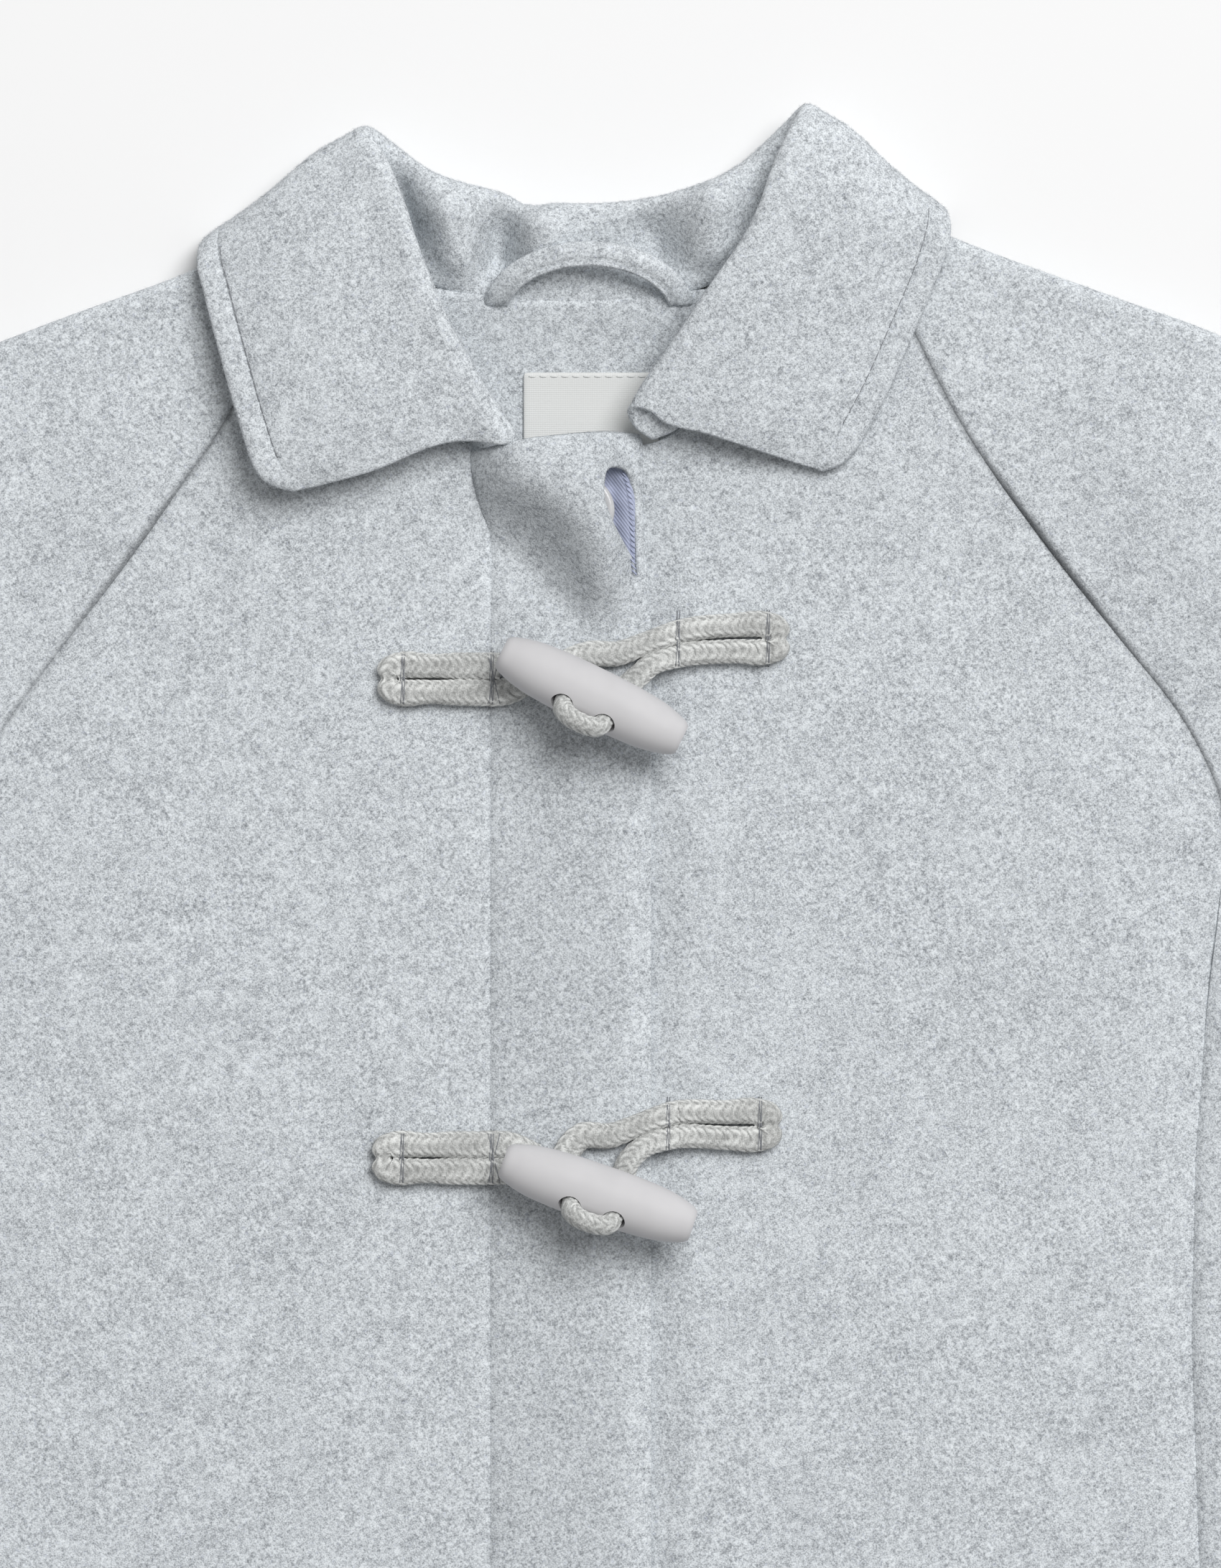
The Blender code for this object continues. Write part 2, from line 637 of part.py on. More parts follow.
def build_back_neck(collection):
    """Facing inside the back neck, and the bare label sewn on it."""
    spread = np.linspace(-FACING_HALF, FACING_HALF, FACING_COLUMNS)
    top = np.array([(x, BACK_NECK_DEPTH - FACING_NECK_GAP + FACING_TOP_CURVE * x * x) for x in spread])
    bottom = np.array([(x * FACING_TAPER, FACING_BOTTOM + FACING_BOTTOM_CURVE * x * x) for x in spread])
    plan = [bottom * (1 - share) + top * share for share in np.linspace(0.0, 1.0, FACING_ROWS)]
    facing = raised(plan, lambda x, y: back_height(x, y) + WOOL + SEAM_GAP)
    sheet("back_neck_facing", facing, FACING_CLOTH, 1.0, collection, "wool")
    plan = [[(x, y) for x in np.linspace(LABEL_LEFT, LABEL_RIGHT, LABEL_COLUMNS)]
            for y in np.linspace(LABEL_BOTTOM, LABEL_TOP, LABEL_ROWS)]
    label = raised(plan, lambda x, y: back_height(x, y) + WOOL + FACING_CLOTH + 2 * SEAM_GAP)
    sheet("label", label, LABEL_CLOTH, 1.0, collection, "label_weave")


def flat_profile(name, width, thickness, cutters):
    """Oval cross-section of a flattened cord."""
    curve = bpy.data.curves.new(name, "CURVE")
    curve.dimensions = "2D"
    spline = curve.splines.new("POLY")
    spline.points.add(CORD_SIDES - 1)
    for index, point in enumerate(spline.points):
        turn = -2.0 * math.pi * index / CORD_SIDES
        point.co = (width / 2 * math.cos(turn) * MM, thickness / 2 * math.sin(turn) * MM, 0.0, 1.0)
    spline.use_cyclic_u = True
    item = bpy.data.objects.new(name, curve)
    cutters.objects.link(item)
    item.hide_render = True
    item.display_type = "WIRE"
    return item


def cord(name, path, profile, collection, material, closed=False, widths=None):
    """Cord along a path, with the given cross-section and its share of width at each point."""
    curve = bpy.data.curves.new(name, "CURVE")
    curve.dimensions = "3D"
    curve.twist_mode = "Z_UP"
    curve.bevel_mode = "OBJECT"
    curve.bevel_object = profile
    curve.use_fill_caps = not closed
    spline = curve.splines.new("POLY")
    spline.points.add(len(path) - 1)
    for index, (point, place) in enumerate(zip(spline.points, path)):
        point.co = (place[0] * MM, place[1] * MM, place[2] * MM, 1.0)
        if widths is not None:
            point.radius = widths[index]
    spline.use_cyclic_u = closed
    curve.materials.append(make_material(material))
    item = bpy.data.objects.new(name, curve)
    collection.objects.link(item)


def build_hanger_loop(collection, cutters):
    """Folded wool strip that arches over the inside of the stand."""
    profile = flat_profile("loop_profile", LOOP_STRIP, LOOP_THICKNESS, cutters)
    cord("hanger_loop", smooth_curve(LOOP_PATH, LOOP_STEPS), profile, collection, "wool")


def rest_height(x, y):
    """Middle of a cord that lies on the cloth, clear of any edge beside it."""
    reach = CORD_WIDTH / 2 + CORD_CLEARANCE
    tops = [coat_top(x + dx, y) for dx in (-reach, 0.0, reach)]
    return max(tops) + SEAM_GAP + CORD_THICKNESS / 2


def on_cloth(plan):
    """Plan path laid on the cloth."""
    return [(x, y, rest_height(x, y)) for x, y in plan]


def build_tab(name, end_x, y, longer, stop_x, profile, collection):
    """Doubled cord sewn to the left front, from under the toggle out to its rounded end and back."""
    near = longer * STRAND_PITCH / 2
    plan = [(stop_x - out, y + near - longer * shift) for out, shift in TAB_STARTS]
    plan.append((TAB_SEAM_X, y + near))
    plan += [(end_x + inset, y + near * share) for inset, share in TAB_END]
    plan += [(TAB_SEAM_X, y - near), (stop_x - TAB_SHORTER, y - near)]
    cord(name, on_cloth(smooth_curve(plan, TAB_POINTS)), profile, collection, "braid")


def build_loop(name, end_x, y, neck, toggle, profile, collection):
    """Doubled cord sewn to the right front, whose loop passes round under the toggle."""
    half = STRAND_PITCH / 2
    plan = [(end_x - inset, y + half * share) for inset, share in LOOP_END]
    plan += [(neck[0] + dx, neck[1] + dy) for dx, dy in LOOP_UPPER]
    plan += [(toggle[0] + dx, toggle[1] + dy) for dx, dy in LOOP_UNDER_TOGGLE]
    plan += [(neck[0] + dx, neck[1] + dy) for dx, dy in LOOP_LOWER]
    path = smooth_curve(plan + [plan[0]], LOOP_POINTS)[:-1]
    widths = [1.0 - NECK_SQUEEZE * math.exp(-((x - neck[0]) / NECK_LENGTH) ** 2) for x, _ in path]
    cord(name, on_cloth(path), profile, collection, "braid", True, widths)


def toggle_frame(toggle_x, toggle_y, tilt):
    """Place of a toggle: its axis along local X, resting on the cords."""
    height = overlap_height(toggle_x, toggle_y) + WOOL + CORD_THICKNESS + 3 * SEAM_GAP + TOGGLE_RADIUS
    turn = Matrix.Rotation(-math.radians(tilt), 4, "Z")
    return Matrix.Translation((toggle_x * MM, toggle_y * MM, height * MM)) @ turn


def build_toggle(name, frame, collection, cutters):
    """Turned barrel with two holes for its cord."""
    right = [(TOGGLE_HALF * along, TOGGLE_RADIUS * across) for along, across in TOGGLE_PROFILE]
    profile = right + [(-along, across) for along, across in reversed(right)]
    mesh = bpy.data.meshes.new(name)
    edges = [(index, index + 1) for index in range(len(profile) - 1)]
    mesh.from_pydata([(along * MM, 0.0, across * MM) for along, across in profile], edges, [])
    mesh.materials.append(make_material("toggle_wood"))
    barrel = bpy.data.objects.new(name, mesh)
    collection.objects.link(barrel)
    barrel.matrix_world = frame
    screw = barrel.modifiers.new("turned", "SCREW")
    screw.axis = "X"
    screw.steps = TOGGLE_SIDES
    screw.render_steps = TOGGLE_SIDES
    screw.use_merge_vertices = True
    screw.merge_threshold = MERGE_DISTANCE * MM
    for side in (-1, 1):
        bpy.ops.mesh.primitive_cylinder_add(
            vertices=DRILL_SIDES, radius=HOLE_RADIUS * MM, depth=DRILL_DEPTH * MM)
        drill = bpy.context.object
        drill.name = f"{name}_drill"
        lean = Matrix.Rotation(HOLE_LEAN, 4, "X")
        drill.matrix_world = frame @ Matrix.Translation((side * HOLE_HALF_PITCH * MM, 0.0, 0.0)) @ lean
        drill.hide_render = True
        drill.display_type = "WIRE"
        move_to(drill, cutters)
        hole = barrel.modifiers.new("hole", "BOOLEAN")
        hole.operation = "DIFFERENCE"
        hole.object = drill


def build_holder(name, frame, profile, collection):
    """Cord that runs through the toggle's two holes."""
    lean = Matrix.Rotation(HOLE_LEAN, 4, "X")
    path = []
    arc = [(HOLE_HALF_PITCH * along, out) for along, out in HOLDER_ARC]
    for along, out in smooth_curve(arc, HOLDER_POINTS):
        place = frame @ lean @ Vector((along * MM, 0.0, out * MM))
        path.append(tuple(place / MM))
    cord(name, path, profile, collection, "braid")


def build_fastenings(collection, cutters):
    """Toggles with their cords, down the band."""
    flat = flat_profile("cord_profile", CORD_WIDTH, CORD_THICKNESS, cutters)
    thin = flat_profile("holder_profile", 2 * HOLDER_RADIUS, 2 * HOLDER_RADIUS, cutters)
    for row in FASTENINGS:
        name, toggle_x, toggle_y, tilt, tab_x, tab_y, longer, loop_x, loop_y, neck_x, neck_y = row
        frame = toggle_frame(toggle_x, toggle_y, tilt)
        build_toggle(f"toggle_{name}", frame, collection, cutters)
        build_holder(f"toggle_cord_{name}", frame, thin, collection)
        build_tab(f"tab_cord_{name}", tab_x, tab_y, longer, toggle_x - TAB_STOP, flat, collection)
        neck = (neck_x, neck_y)
        build_loop(f"loop_cord_{name}", loop_x, loop_y, neck, (toggle_x, toggle_y), flat, collection)


def main():
    """Build the coat."""
    clear_scene()
    parts = make_collection("short_coat")
    cutters = make_collection("cutters")
    build_back(parts)
    build_front_left(parts)
    build_front_right(parts)
    build_band(parts)
    build_fly(parts)
    build_sleeve("sleeve_left", -1, RAGLAN_LEFT, SHOULDER_LEFT, parts)
    build_sleeve("sleeve_right", 1, RAGLAN_RIGHT, SHOULDER_RIGHT, parts)
    build_collar(parts)
    build_back_neck(parts)
    build_hanger_loop(parts, cutters)
    build_fastenings(parts, cutters)


main()
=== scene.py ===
"""Looks of a child's short duffle coat in pale felted wool, laid flat and closed.

The file is laid out as an add-on: sizes and colours are properties, each group of pieces has an operator,
and a panel lists them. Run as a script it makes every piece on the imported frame.
Lengths in the tables are millimetres; meshes are in metres.
"""

import math

import bmesh
import bpy
import numpy as np
from mathutils import Matrix, Vector
from mathutils.bvhtree import BVHTree


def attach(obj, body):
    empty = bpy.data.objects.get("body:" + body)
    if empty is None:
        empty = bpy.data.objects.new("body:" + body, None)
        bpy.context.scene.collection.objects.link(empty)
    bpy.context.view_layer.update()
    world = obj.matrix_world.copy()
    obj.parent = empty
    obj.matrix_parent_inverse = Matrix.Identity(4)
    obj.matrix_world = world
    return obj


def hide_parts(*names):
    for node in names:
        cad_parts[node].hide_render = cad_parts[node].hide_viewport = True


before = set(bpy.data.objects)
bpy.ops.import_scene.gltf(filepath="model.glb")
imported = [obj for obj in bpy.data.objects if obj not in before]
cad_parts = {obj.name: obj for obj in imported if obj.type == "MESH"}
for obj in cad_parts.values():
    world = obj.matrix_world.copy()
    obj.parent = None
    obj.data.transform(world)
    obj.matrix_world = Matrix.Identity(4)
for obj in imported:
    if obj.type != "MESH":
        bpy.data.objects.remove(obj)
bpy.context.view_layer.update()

bl_info = {
    "name": "Short duffle coat",
    "version": (1, 0, 0),
    "blender": (4, 5, 0),
    "location": "View3D > Sidebar > Coat",
    "description": "Makes the cloth, cords, toggles and stage of a short coat laid flat",
    "category": "Object",
}

MM = 0.001

# Layers, as in the frame
WOOL = 2.0
SEAM_GAP = 0.3
FACING_CLOTH = 1.4
LINING_CLOTH = 0.6
FRONT_HEIGHT = 5.0
SIDE_SEAM_HEIGHT = WOOL + SEAM_GAP
OVERLAP_RISE = WOOL + SEAM_GAP
COLLAR_RISE = 2.4
RISE_START_Y = 112.0
RISE_END_Y = 157.0
SIDE_ROUNDING = 20.0
OVERLAP_BLEND = 110.0

# Outline of the body, with the rough sizes that set how close the cloth grids are
HEM_Y = -239.7
BODY_RUN = 430.0
BACK_RUN = 344.0
LEFT_RUN = 150.0
RIGHT_RUN = 186.0
SIDE_POINTS = 40
EDGE_INSETS = (0.0, 0.5, 1.2, 2.4, 4.2, 7.0)
SIDE_DROP_LENGTH = 30.0
BAND_LEFT = -21.8
BAND_LEAN_Y = 127.0
BAND_RIGHT = 20.8
UNDERLAP_LEFT = -14.0

SIDE_EDGE = [
    # share of the length from hem to underarm, half width
    (0.00, 172.0),
    (0.35, 166.2),
    (0.55, 164.3),
    (0.72, 165.4),
    (0.88, 168.8),
    (1.00, 172.5),
]

# Raglan seams from the underarm to the neck, and shoulder lines from the neck to the cuff, x and y
RAGLAN_RIGHT = [(172.5, 39.0), (171.2, 55.0), (162.8, 74.0), (145.3, 97.5), (122.7, 127.0),
                (103.5, 153.0), (90.0, 179.0), (76.0, 208.0)]
RAGLAN_LEFT = [(-172.5, 28.0), (-165.0, 50.5), (-151.4, 72.5), (-127.7, 105.5), (-109.0, 131.0),
               (-88.7, 159.5), (-78.0, 184.0), (-70.0, 203.0)]
SHOULDER_RIGHT = [(68.0, 218.0), (100.0, 203.8), (144.0, 187.5), (172.0, 177.2), (210.0, 153.0),
                  (242.0, 112.0), (262.0, 56.0), (270.0, 0.0), (273.0, -75.0), (271.0, -206.0)]
SHOULDER_LEFT = [(-63.0, 212.5), (-99.5, 195.2), (-139.0, 180.6), (-171.0, 167.4), (-210.0, 142.0),
                 (-242.0, 100.0), (-262.0, 44.0), (-270.0, -8.0), (-273.0, -82.0), (-271.0, -206.0)]
SLEEVE_TO_BODY = -0.9
SLEEVE_CROWN = 5.0
UNDERARM_CURL = 0.6
SLEEVE_SHIFT = 0.1
SLEEVE_START = ((0.0, 1.0), (0.12, 0.89), (0.35, 0.7), (1.0, 0.3))
CUFF_SLANT = 6.0
ELBOW_RISE = 42.0
ELBOW_BEYOND_X = 200.0
SHOULDER_POINTS = 200
SLEEVE_ROWS = (50, 40)
SLEEVE_ACROSS = 15
SLEEVE_TURN_POINTS = 9
CURL_ROWS = (-1, 9)
CROWN_SPAN = (45.0, 110.0)
LEFT_FOLD_SHARE = 0.8

# Neck edges
BACK_NECK_DEPTH = 183.5
BACK_NECK = [(-30.0, 185.0), (0.0, BACK_NECK_DEPTH), (32.0, 186.5)]
LEFT_NECK = [(-50.0, 180.0), (-36.0, 160.0)]
RIGHT_NECK_START = 146.0
RIGHT_NECK = [(8.0, 148.0), (24.0, 151.0), (44.0, 171.0)]
BAND_NECK = [(-26.5, 147.5), (-13.0, 150.5), (0.0, 152.0), (10.0, 153.0), (17.5, 152.5)]

# Placket band: places of its grid across the left part and past the fly slit, and where its edge changes
BAND_SHARES = (0.0, 0.03, 0.07, 0.13, 0.2, 0.3, 0.42, 0.54, 0.66, 0.77, 0.86, 0.92, 0.965, 1.0)
LIP_SHARES = (0.4, 0.75)
SLIT_ROWS = 20
BAND_TOP_ROWS = 4
SLIT_FADE = 14.0
SLIT_FROM_RIGHT = (4.2, 3.4)
BAND_TOP_INSET = 3.2
BAND_TOP_SPAN = (95.0, 135.0)
BAND_EDGE_SPAN = (95.0, 112.0)

# Fly slit and the button behind it
SLIT = [
    # y, left lip, right lip
    (143.0, 9.0, 12.4),
    (142.3, 8.2, 13.4),
    (139.5, 7.7, 14.5),
    (134.5, 7.6, 15.2),
    (129.0, 9.4, 15.6),
    (123.0, 12.5, 15.8),
    (118.5, 15.2, 16.0),
    (115.0, 16.2, 16.4),
]
FLY_BULGE = 2.2
FLY_CENTRE = (5.0, 132.5)
FLY_SPREAD = 13.0
# Crest that slants across the band beside the fly: its line, height, half width below and above, and ends
FLY_CREST = [(-28.0, 147.0), (-14.0, 143.5), (-1.0, 136.0), (8.0, 125.0), (13.5, 113.0), (16.5, 100.0)]
FLY_CREST_HEIGHT = 8.6
FLY_CREST_HALF = (10.0, 16.5)
FLY_CREST_ENDS = (0.0, 0.2, 0.72, 1.0)
FLY_DROP_SPAN = (6.0, 16.5)
CREST_POINTS = 60
# Puckers of the lining: height, then share of it and pace up and across of each wave
PUCKER = 0.4
PUCKER_WAVES = ((1.0, 0.9, 0.5), (0.6, 2.0, -0.8))
PUCKER_FADE = (12.0, 14.6)
BUTTON_CENTRE = (2.0, 132.0)
BUTTON_TILT = math.radians(7.0)
BUTTON_RADIUS = 9.4
BUTTON_THICKNESS = 2.6
BUTTON_SEAT = 0.4
BUTTON_HOLE = 0.8
BUTTON_HOLE_PITCH = 3.4
BUTTON_FOOT = 0.9
BUTTON_SIDES = 48
BUTTON_HOLE_SIDES = 16
BUTTON_PROFILE = [
    # rise in parts of the whole thickness, change of radius
    (0.25, 1.075),
    (0.35, 1.033),
    (0.35, 1.000),
    (0.35, 0.968),
    (0.20, 0.930),
]
BUTTON_DISH = ((1.6, -0.25), (0.8, -0.35))
FLY_SPAN_X = (6.0, 16.6)
FLY_SPAN_Y = (109.0, 144.6)
FLY_SET = 0.7
FLY_COUNTS = (9, 25)
LINING_RISE = (10.0, 15.0)
LIP_STITCH = 1.3
LIP_STITCH_STEP = 1.1
LIP_STITCH_SLANT = (-0.6, 0.7)
LIP_STITCH_SINK = 0.25
LIP_STITCH_ARCH = 0.4
LIP_THREAD = 0.24

# Collar sections around the neck: seam to the coat, roll at the top and free edge of the fall
COLLAR = [
    # seam x, y, z,        roll x, y, z,           fall x, y, z
    (-22.0, 151.0, 13.4, -14.0, 152.5, 18.5, -72.5, 137.0, 11.6),
    (-29.0, 159.0, 13.2, -20.5, 161.0, 20.0, -81.5, 140.5, 11.8),
    (-37.0, 169.0, 12.4, -27.5, 172.5, 22.0, -86.5, 153.0, 12.2),
    (-45.0, 182.0, 11.6, -34.5, 186.0, 23.5, -92.5, 174.0, 12.2),
    (-53.0, 195.0, 11.4, -41.0, 203.0, 23.5, -97.0, 191.0, 11.8),
    (-59.0, 203.5, 11.8, -46.5, 219.5, 21.5, -98.4, 197.0, 11.2),
    (-63.0, 209.0, 8.8, -53.0, 231.8, 16.5, -97.6, 202.8, 6.4),
    (-58.5, 205.0, 5.9, -49.5, 229.6, 13.0, -93.0, 201.0, 1.3),
    (-47.0, 195.5, 6.4, -36.5, 220.3, 13.0, -64.0, 172.0, 1.25),
    (-26.0, 187.6, 6.2, -20.0, 215.6, 13.0, -33.0, 161.5, 1.25),
    (0.0, 185.6, 6.2, 1.0, 212.1, 13.0, 0.0, 159.0, 1.25),
    (27.0, 188.2, 6.2, 22.0, 214.2, 13.0, 34.0, 162.5, 1.25),
    (49.0, 197.5, 6.4, 40.5, 219.8, 13.0, 66.0, 175.0, 1.25),
    (61.5, 208.5, 5.9, 55.5, 232.2, 13.0, 94.5, 208.4, 1.3),
    (67.0, 214.2, 8.8, 60.5, 238.2, 16.5, 98.6, 210.8, 6.4),
    (63.0, 208.0, 11.8, 54.5, 226.5, 21.5, 99.2, 204.8, 11.2),
    (58.0, 198.0, 11.4, 46.5, 206.0, 23.5, 96.5, 195.5, 11.2),
    (48.5, 184.0, 11.6, 35.5, 190.0, 23.5, 90.0, 180.0, 11.0),
    (39.0, 168.0, 12.0, 25.8, 176.0, 22.0, 82.0, 162.0, 10.8),
    (29.5, 155.0, 12.2, 18.8, 165.8, 20.2, 73.0, 146.5, 10.9),
    (21.0, 150.6, 12.6, 15.0, 158.2, 18.4, 65.5, 142.5, 10.6),
]
ROLL_RADIUS = 2.0
ROLL_SPREAD = 1.0
FALL_ARCH = 2.4
FALL_BOW = 3.2
FALL_BOW_SHARE = 0.7
FALL_BENEATH = (1.5, 9.0)
FALL_TURNING = (1.5, 11.0)
COLLAR_STITCH_INSET = 6.0
COLLAR_STATIONS = 124
COLLAR_STITCH_FROM = 7
COLLAR_STITCH_RUN = 7.6
# Stitches of the collar: length and gap, rise, and radius of the thread
COLLAR_STITCH = (2.6, 0.5)
COLLAR_STITCH_RISE = 0.1
COLLAR_THREAD = 0.14
COLLAR_TOP = 10.0
COLLAR_FLOOR_LIFT = 0.35
STAND_DENT = 2.4
STAND_DENT_X = -11.0
STAND_DENT_HALF = 4.5
# Folds inside the stand: where they start, are full, fade and are gone, from the neck seam
STAND_FOLD_REACH = (1.0, 9.0, 21.0, 31.0)
STAND_SINK = 1.2
STAND_SINK_REACH = 10.0
STAND_LIFT = 5.0
NECK_SEAM_LIFT = 5.8
NECK_SEAM_REACH = 14.0
STAND_FOLDS = [
    # start x, start y, end x, end y, half width, height
    (-46.0, 224.0, -42.0, 190.0, 4.0, -4.4),
    (-34.0, 218.0, -29.0, 192.0, 5.5, 5.6),
    (-17.0, 214.0, -21.0, 190.0, 4.5, -5.6),
    (-6.0, 212.0, -8.0, 194.0, 6.5, 5.0),
    (18.0, 214.0, 24.0, 192.0, 6.5, -4.6),
    (38.0, 221.0, 36.0, 194.0, 6.5, 5.4),
]
COLLAR_CLOTH = 3.0
COLLAR_OFFSET = 0.3
EDGE_PROUD = 0.4
EDGE_PROUD_INSET = 2.0
STITCH_HALF = 0.5
STITCH_FADE = (0.4, 1.5)
COLLAR_POINTS = 25
FALL_ROWS = (9.5, 7.6, 6.7, 6.0, 5.3, 4.4, 2.7, 1.2, 0.0)
EDGE_ROLL = 0.4
EDGE_STEP = 0.3
EDGE_THIN = 0.5
EDGE_THIN_REACH = 5.0
# Lift of the left fall: place along the collar's sections, reach and height
FALL_LIFT = (1.5, 2.8, 9.0)
EDGE_TURNS = (45.0, 90.0, 135.0, 170.0)
END_STATIONS = (0.0, 0.1, 0.25, 0.45, 0.7)
END_ROUND = 1.3
END_ROUND_REACH = 0.8
END_WAVE = 3.0
END_WAVE_LAST = 4.0
END_WAVE_REACH = 0.9
END_HUMPS = [
    # height, share of the way to the fall's edge, half width
    (1.00, 0.36, 0.2),
    (-0.35, 0.04, 0.1),
]
FALL_SECTION = [
    # share of the fall where it lies on top, share where it lies beneath, height left where it lies beneath
    (0.15, 0.030, 0.30),
    (0.40, 0.130, 0.00),
    (0.62, 0.400, 0.00),
    (0.82, 0.700, 0.00),
    (1.00, 1.000, 0.00),
]

# Seams: how far the cloth sinks beside them, and how far the painted shade in their grooves reaches
SEAM_REACH = 1.1
RAGLAN_REACH = 0.6
SHADOW_REACH = 1.0
# How dark the painted shade is in the lower half of the left and right raglan seam
RAGLAN_PAINTED_SHADE = {-1: 0.62, 1: 0.85}
UNDERARM_BLEND = (-12.0, 6.0)
# Strength of the painted shade along the band's seam
BAND_SEAM_PAINTED_SHADE = 0.22
SIDE_SHARE = 0.2
# Painted shade over the band, fading towards its lit right edge, and painted shadow on the right front beside
# the band's edge: share, and where it fades from left to right
BAND_PAINTED_SHADE = (0.09, 6.0, 18.5)
UNDERLAP_PAINTED_SHADOW = (0.07, 25.0, 33.0)
# Right edge of the band, below and beside the fly, and the right front that dips beneath it
BAND_EDGE_DEPTH = (1.8, 2.4)
BAND_EDGE_REACH = (3.6, 1.5)
UNDERLAP_DIP = 1.5
UNDERLAP_RISE = (20.0, 35.0)
UNDERLAP_TOP = (88.0, 108.0)
UNDERLAP_FOLDS = (18.0, 34.0)

# Back neck pieces
FACING_HALF = 52.0
FACING_BOTTOM = 118.0
FACING_TAPER = 0.8
FACING_TUCK = 4.5
FACING_SLOPE = (152.0, 186.0)
FACING_TOP_CURVE = 0.0022
FACING_BOTTOM_CURVE = 0.006
FACING_COUNTS = (31, 25)
LABEL_CLOTH = 0.5
LABEL_LEFT = -13.1
LABEL_RIGHT = 23.0
LABEL_TOP = 168.7
LABEL_BOTTOM = 143.0
LABEL_COUNTS = (19, 14)
LABEL_STITCH_INSET = 1.2
LABEL_STITCH_MARGIN = 1.0
# Stitches of the label: length and gap, and radius of the thread
LABEL_STITCH = (1.9, 1.0)
LABEL_THREAD = 0.2
LOOP_STRIP = 6.6
LOOP_THICKNESS = 2.6
LOOP_WALL = 0.9
# Arch of the hanger loop: middle x and y, half width and rise; then the levels of its feet and crown
LOOP_ARCH = (4.3, 183.6, 25.0, 15.8)
LOOP_LEVELS = (6.9, 19.6)
LOOP_SEAM = 186.0
LOOP_GROOVE = 1.0
LOOP_GROOVE_SIDE = 7
LOOP_SIDES = 20
LOOP_POINTS = 60
LOOP_ROUND = 0.6

# Toggles and their cords
CORD_WIDTH = 7.3
CORD_THICKNESS = 4.0
STRAND_PITCH = 6.9
STRAND_GAP = 0.12
STRAND_SQUARE = 0.72
# Where the strands of a doubled cord stand apart: distance in from its end, half length
TAB_GAP = (15.5, 4.5)
LOOP_GAP = (17.5, 8.5)
CORD_COLUMNS = 8
CORD_PITCH = 2.1
CORD_CLEARANCE = 1.0
CORD_SMOOTHING = 5
HOLDER_COLUMNS = 8
HOLDER_RELIEF = 0.8
COLUMN_POINTS = 4
STRAND_SLANT = 1.1
STRAND_ROUND = 0.6
COLUMN_ROUND = 0.4
# Unevenness of the strands: size, pace along the cord and shift from row to row
STRAND_UNEVEN = ((0.16, 0.83, 2.1), (0.1, 2.3, 4.7))
# Heights of the strands: middle, size, pace from strand to strand and from row to row
STRAND_HEIGHTS = (0.85, 0.15, 12.9, 7.3)
PLAIT_MIDDLE = 0.6
# Value given to the centres of a cord's cut ends for the painted shade of the plait
PLAIT_END = 0.4
BAR_PRESS = 0.32
BAR_HALF = 1.0
LEAST_PRESS = 0.4
CLEFT_HALF = 1.0
END_CLEFT = 0.45
END_NOTCH = 0.42
TAB_STOP = 16.5
TAB_SEAM_X = -26.0
NECK_SQUEEZE = 0.16
NECK_LENGTH = 12.0
TOGGLE_HALF = 26.4
TOGGLE_RADIUS = 7.7
TOGGLE_PROFILE = [
    # share of half length, share of radius
    (1.00, 0.50),
    (0.98, 0.58),
    (0.88, 0.73),
    (0.70, 0.88),
    (0.42, 0.97),
    (0.14, 1.00),
]
TOGGLE_SIDES = 48
TOGGLE_STEPS = 6
TOGGLE_SHARP = math.radians(40.0)
HOLE_HALF_PITCH = 6.0
HOLE_RADIUS = 3.2
HOLE_SIDES = 24
HOLE_LEAN = math.radians(46.0)
HOLDER_RADIUS = 2.65
DRILL_DEPTH = 40.0
HOLDER_ARC = [
    # share of the holes' half pitch, distance out from the toggle's axis; from inside one hole to the middle
    (-0.95, -4.0),
    (-0.95, 1.5),
    (-0.95, 6.8),
    (-0.86, 9.1),
    (-0.52, 10.3),
    (0.00, 10.7),
]
CORD_END = [
    # distance in from a doubled cord's end, share of half the strands' pitch; from one strand to the fold
    (6.6, 1.00),
    (4.2, 0.72),
    (3.6, 0.00),
]
TAB_END_RUN = 13.0
LOOP_END_RUN = 15.0
TAB_STARTS = [
    # distance out from where the tab stops, distance in towards the other strand
    (0.0, 3.2),
    (6.5, 0.2),
]
TAB_SHORTER = 7.8
LOOP_UPPER = [(7.4, 4.9), (-2.6, 1.3), (-8.5, -0.9), (-16.0, -1.1)]
LOOP_UNDER_TOGGLE = [(-9.5, 5.5), (-6.5, -0.5), (4.5, -0.5)]
LOOP_LOWER = [(-3.2, -6.9), (0.4, -3.7), (7.4, -1.5)]
FASTENINGS = [
    # name, toggle x, toggle y, tilt in degrees, tab end x, tab y, longer tab strand (1 upper, -1 lower),
    # loop end x, loop y, neck x, neck y
    ("top", 5.1, 82.9, 26.0, -52.0, 87.4, -1, 58.0, 98.2, 20.5, 95.0),
    ("middle", 6.8, -48.1, 19.0, -53.5, -39.2, 1, 56.0, -30.6, 18.5, -32.4),
    ("lower", 6.4, -176.0, 20.0, -53.0, -167.0, 1, 56.5, -158.6, 18.5, -160.4),
]

# Rows of stitches across the cords: along the tab's end, at the band seam, and across the loop's two ends
STITCH_BARS = {
    "top": (-44.8, -21.3, 27.9, 51.7),
    "middle": (-45.0, -21.3, 25.3, 49.6),
    "lower": (-45.0, -21.3, 25.3, 49.8),
}

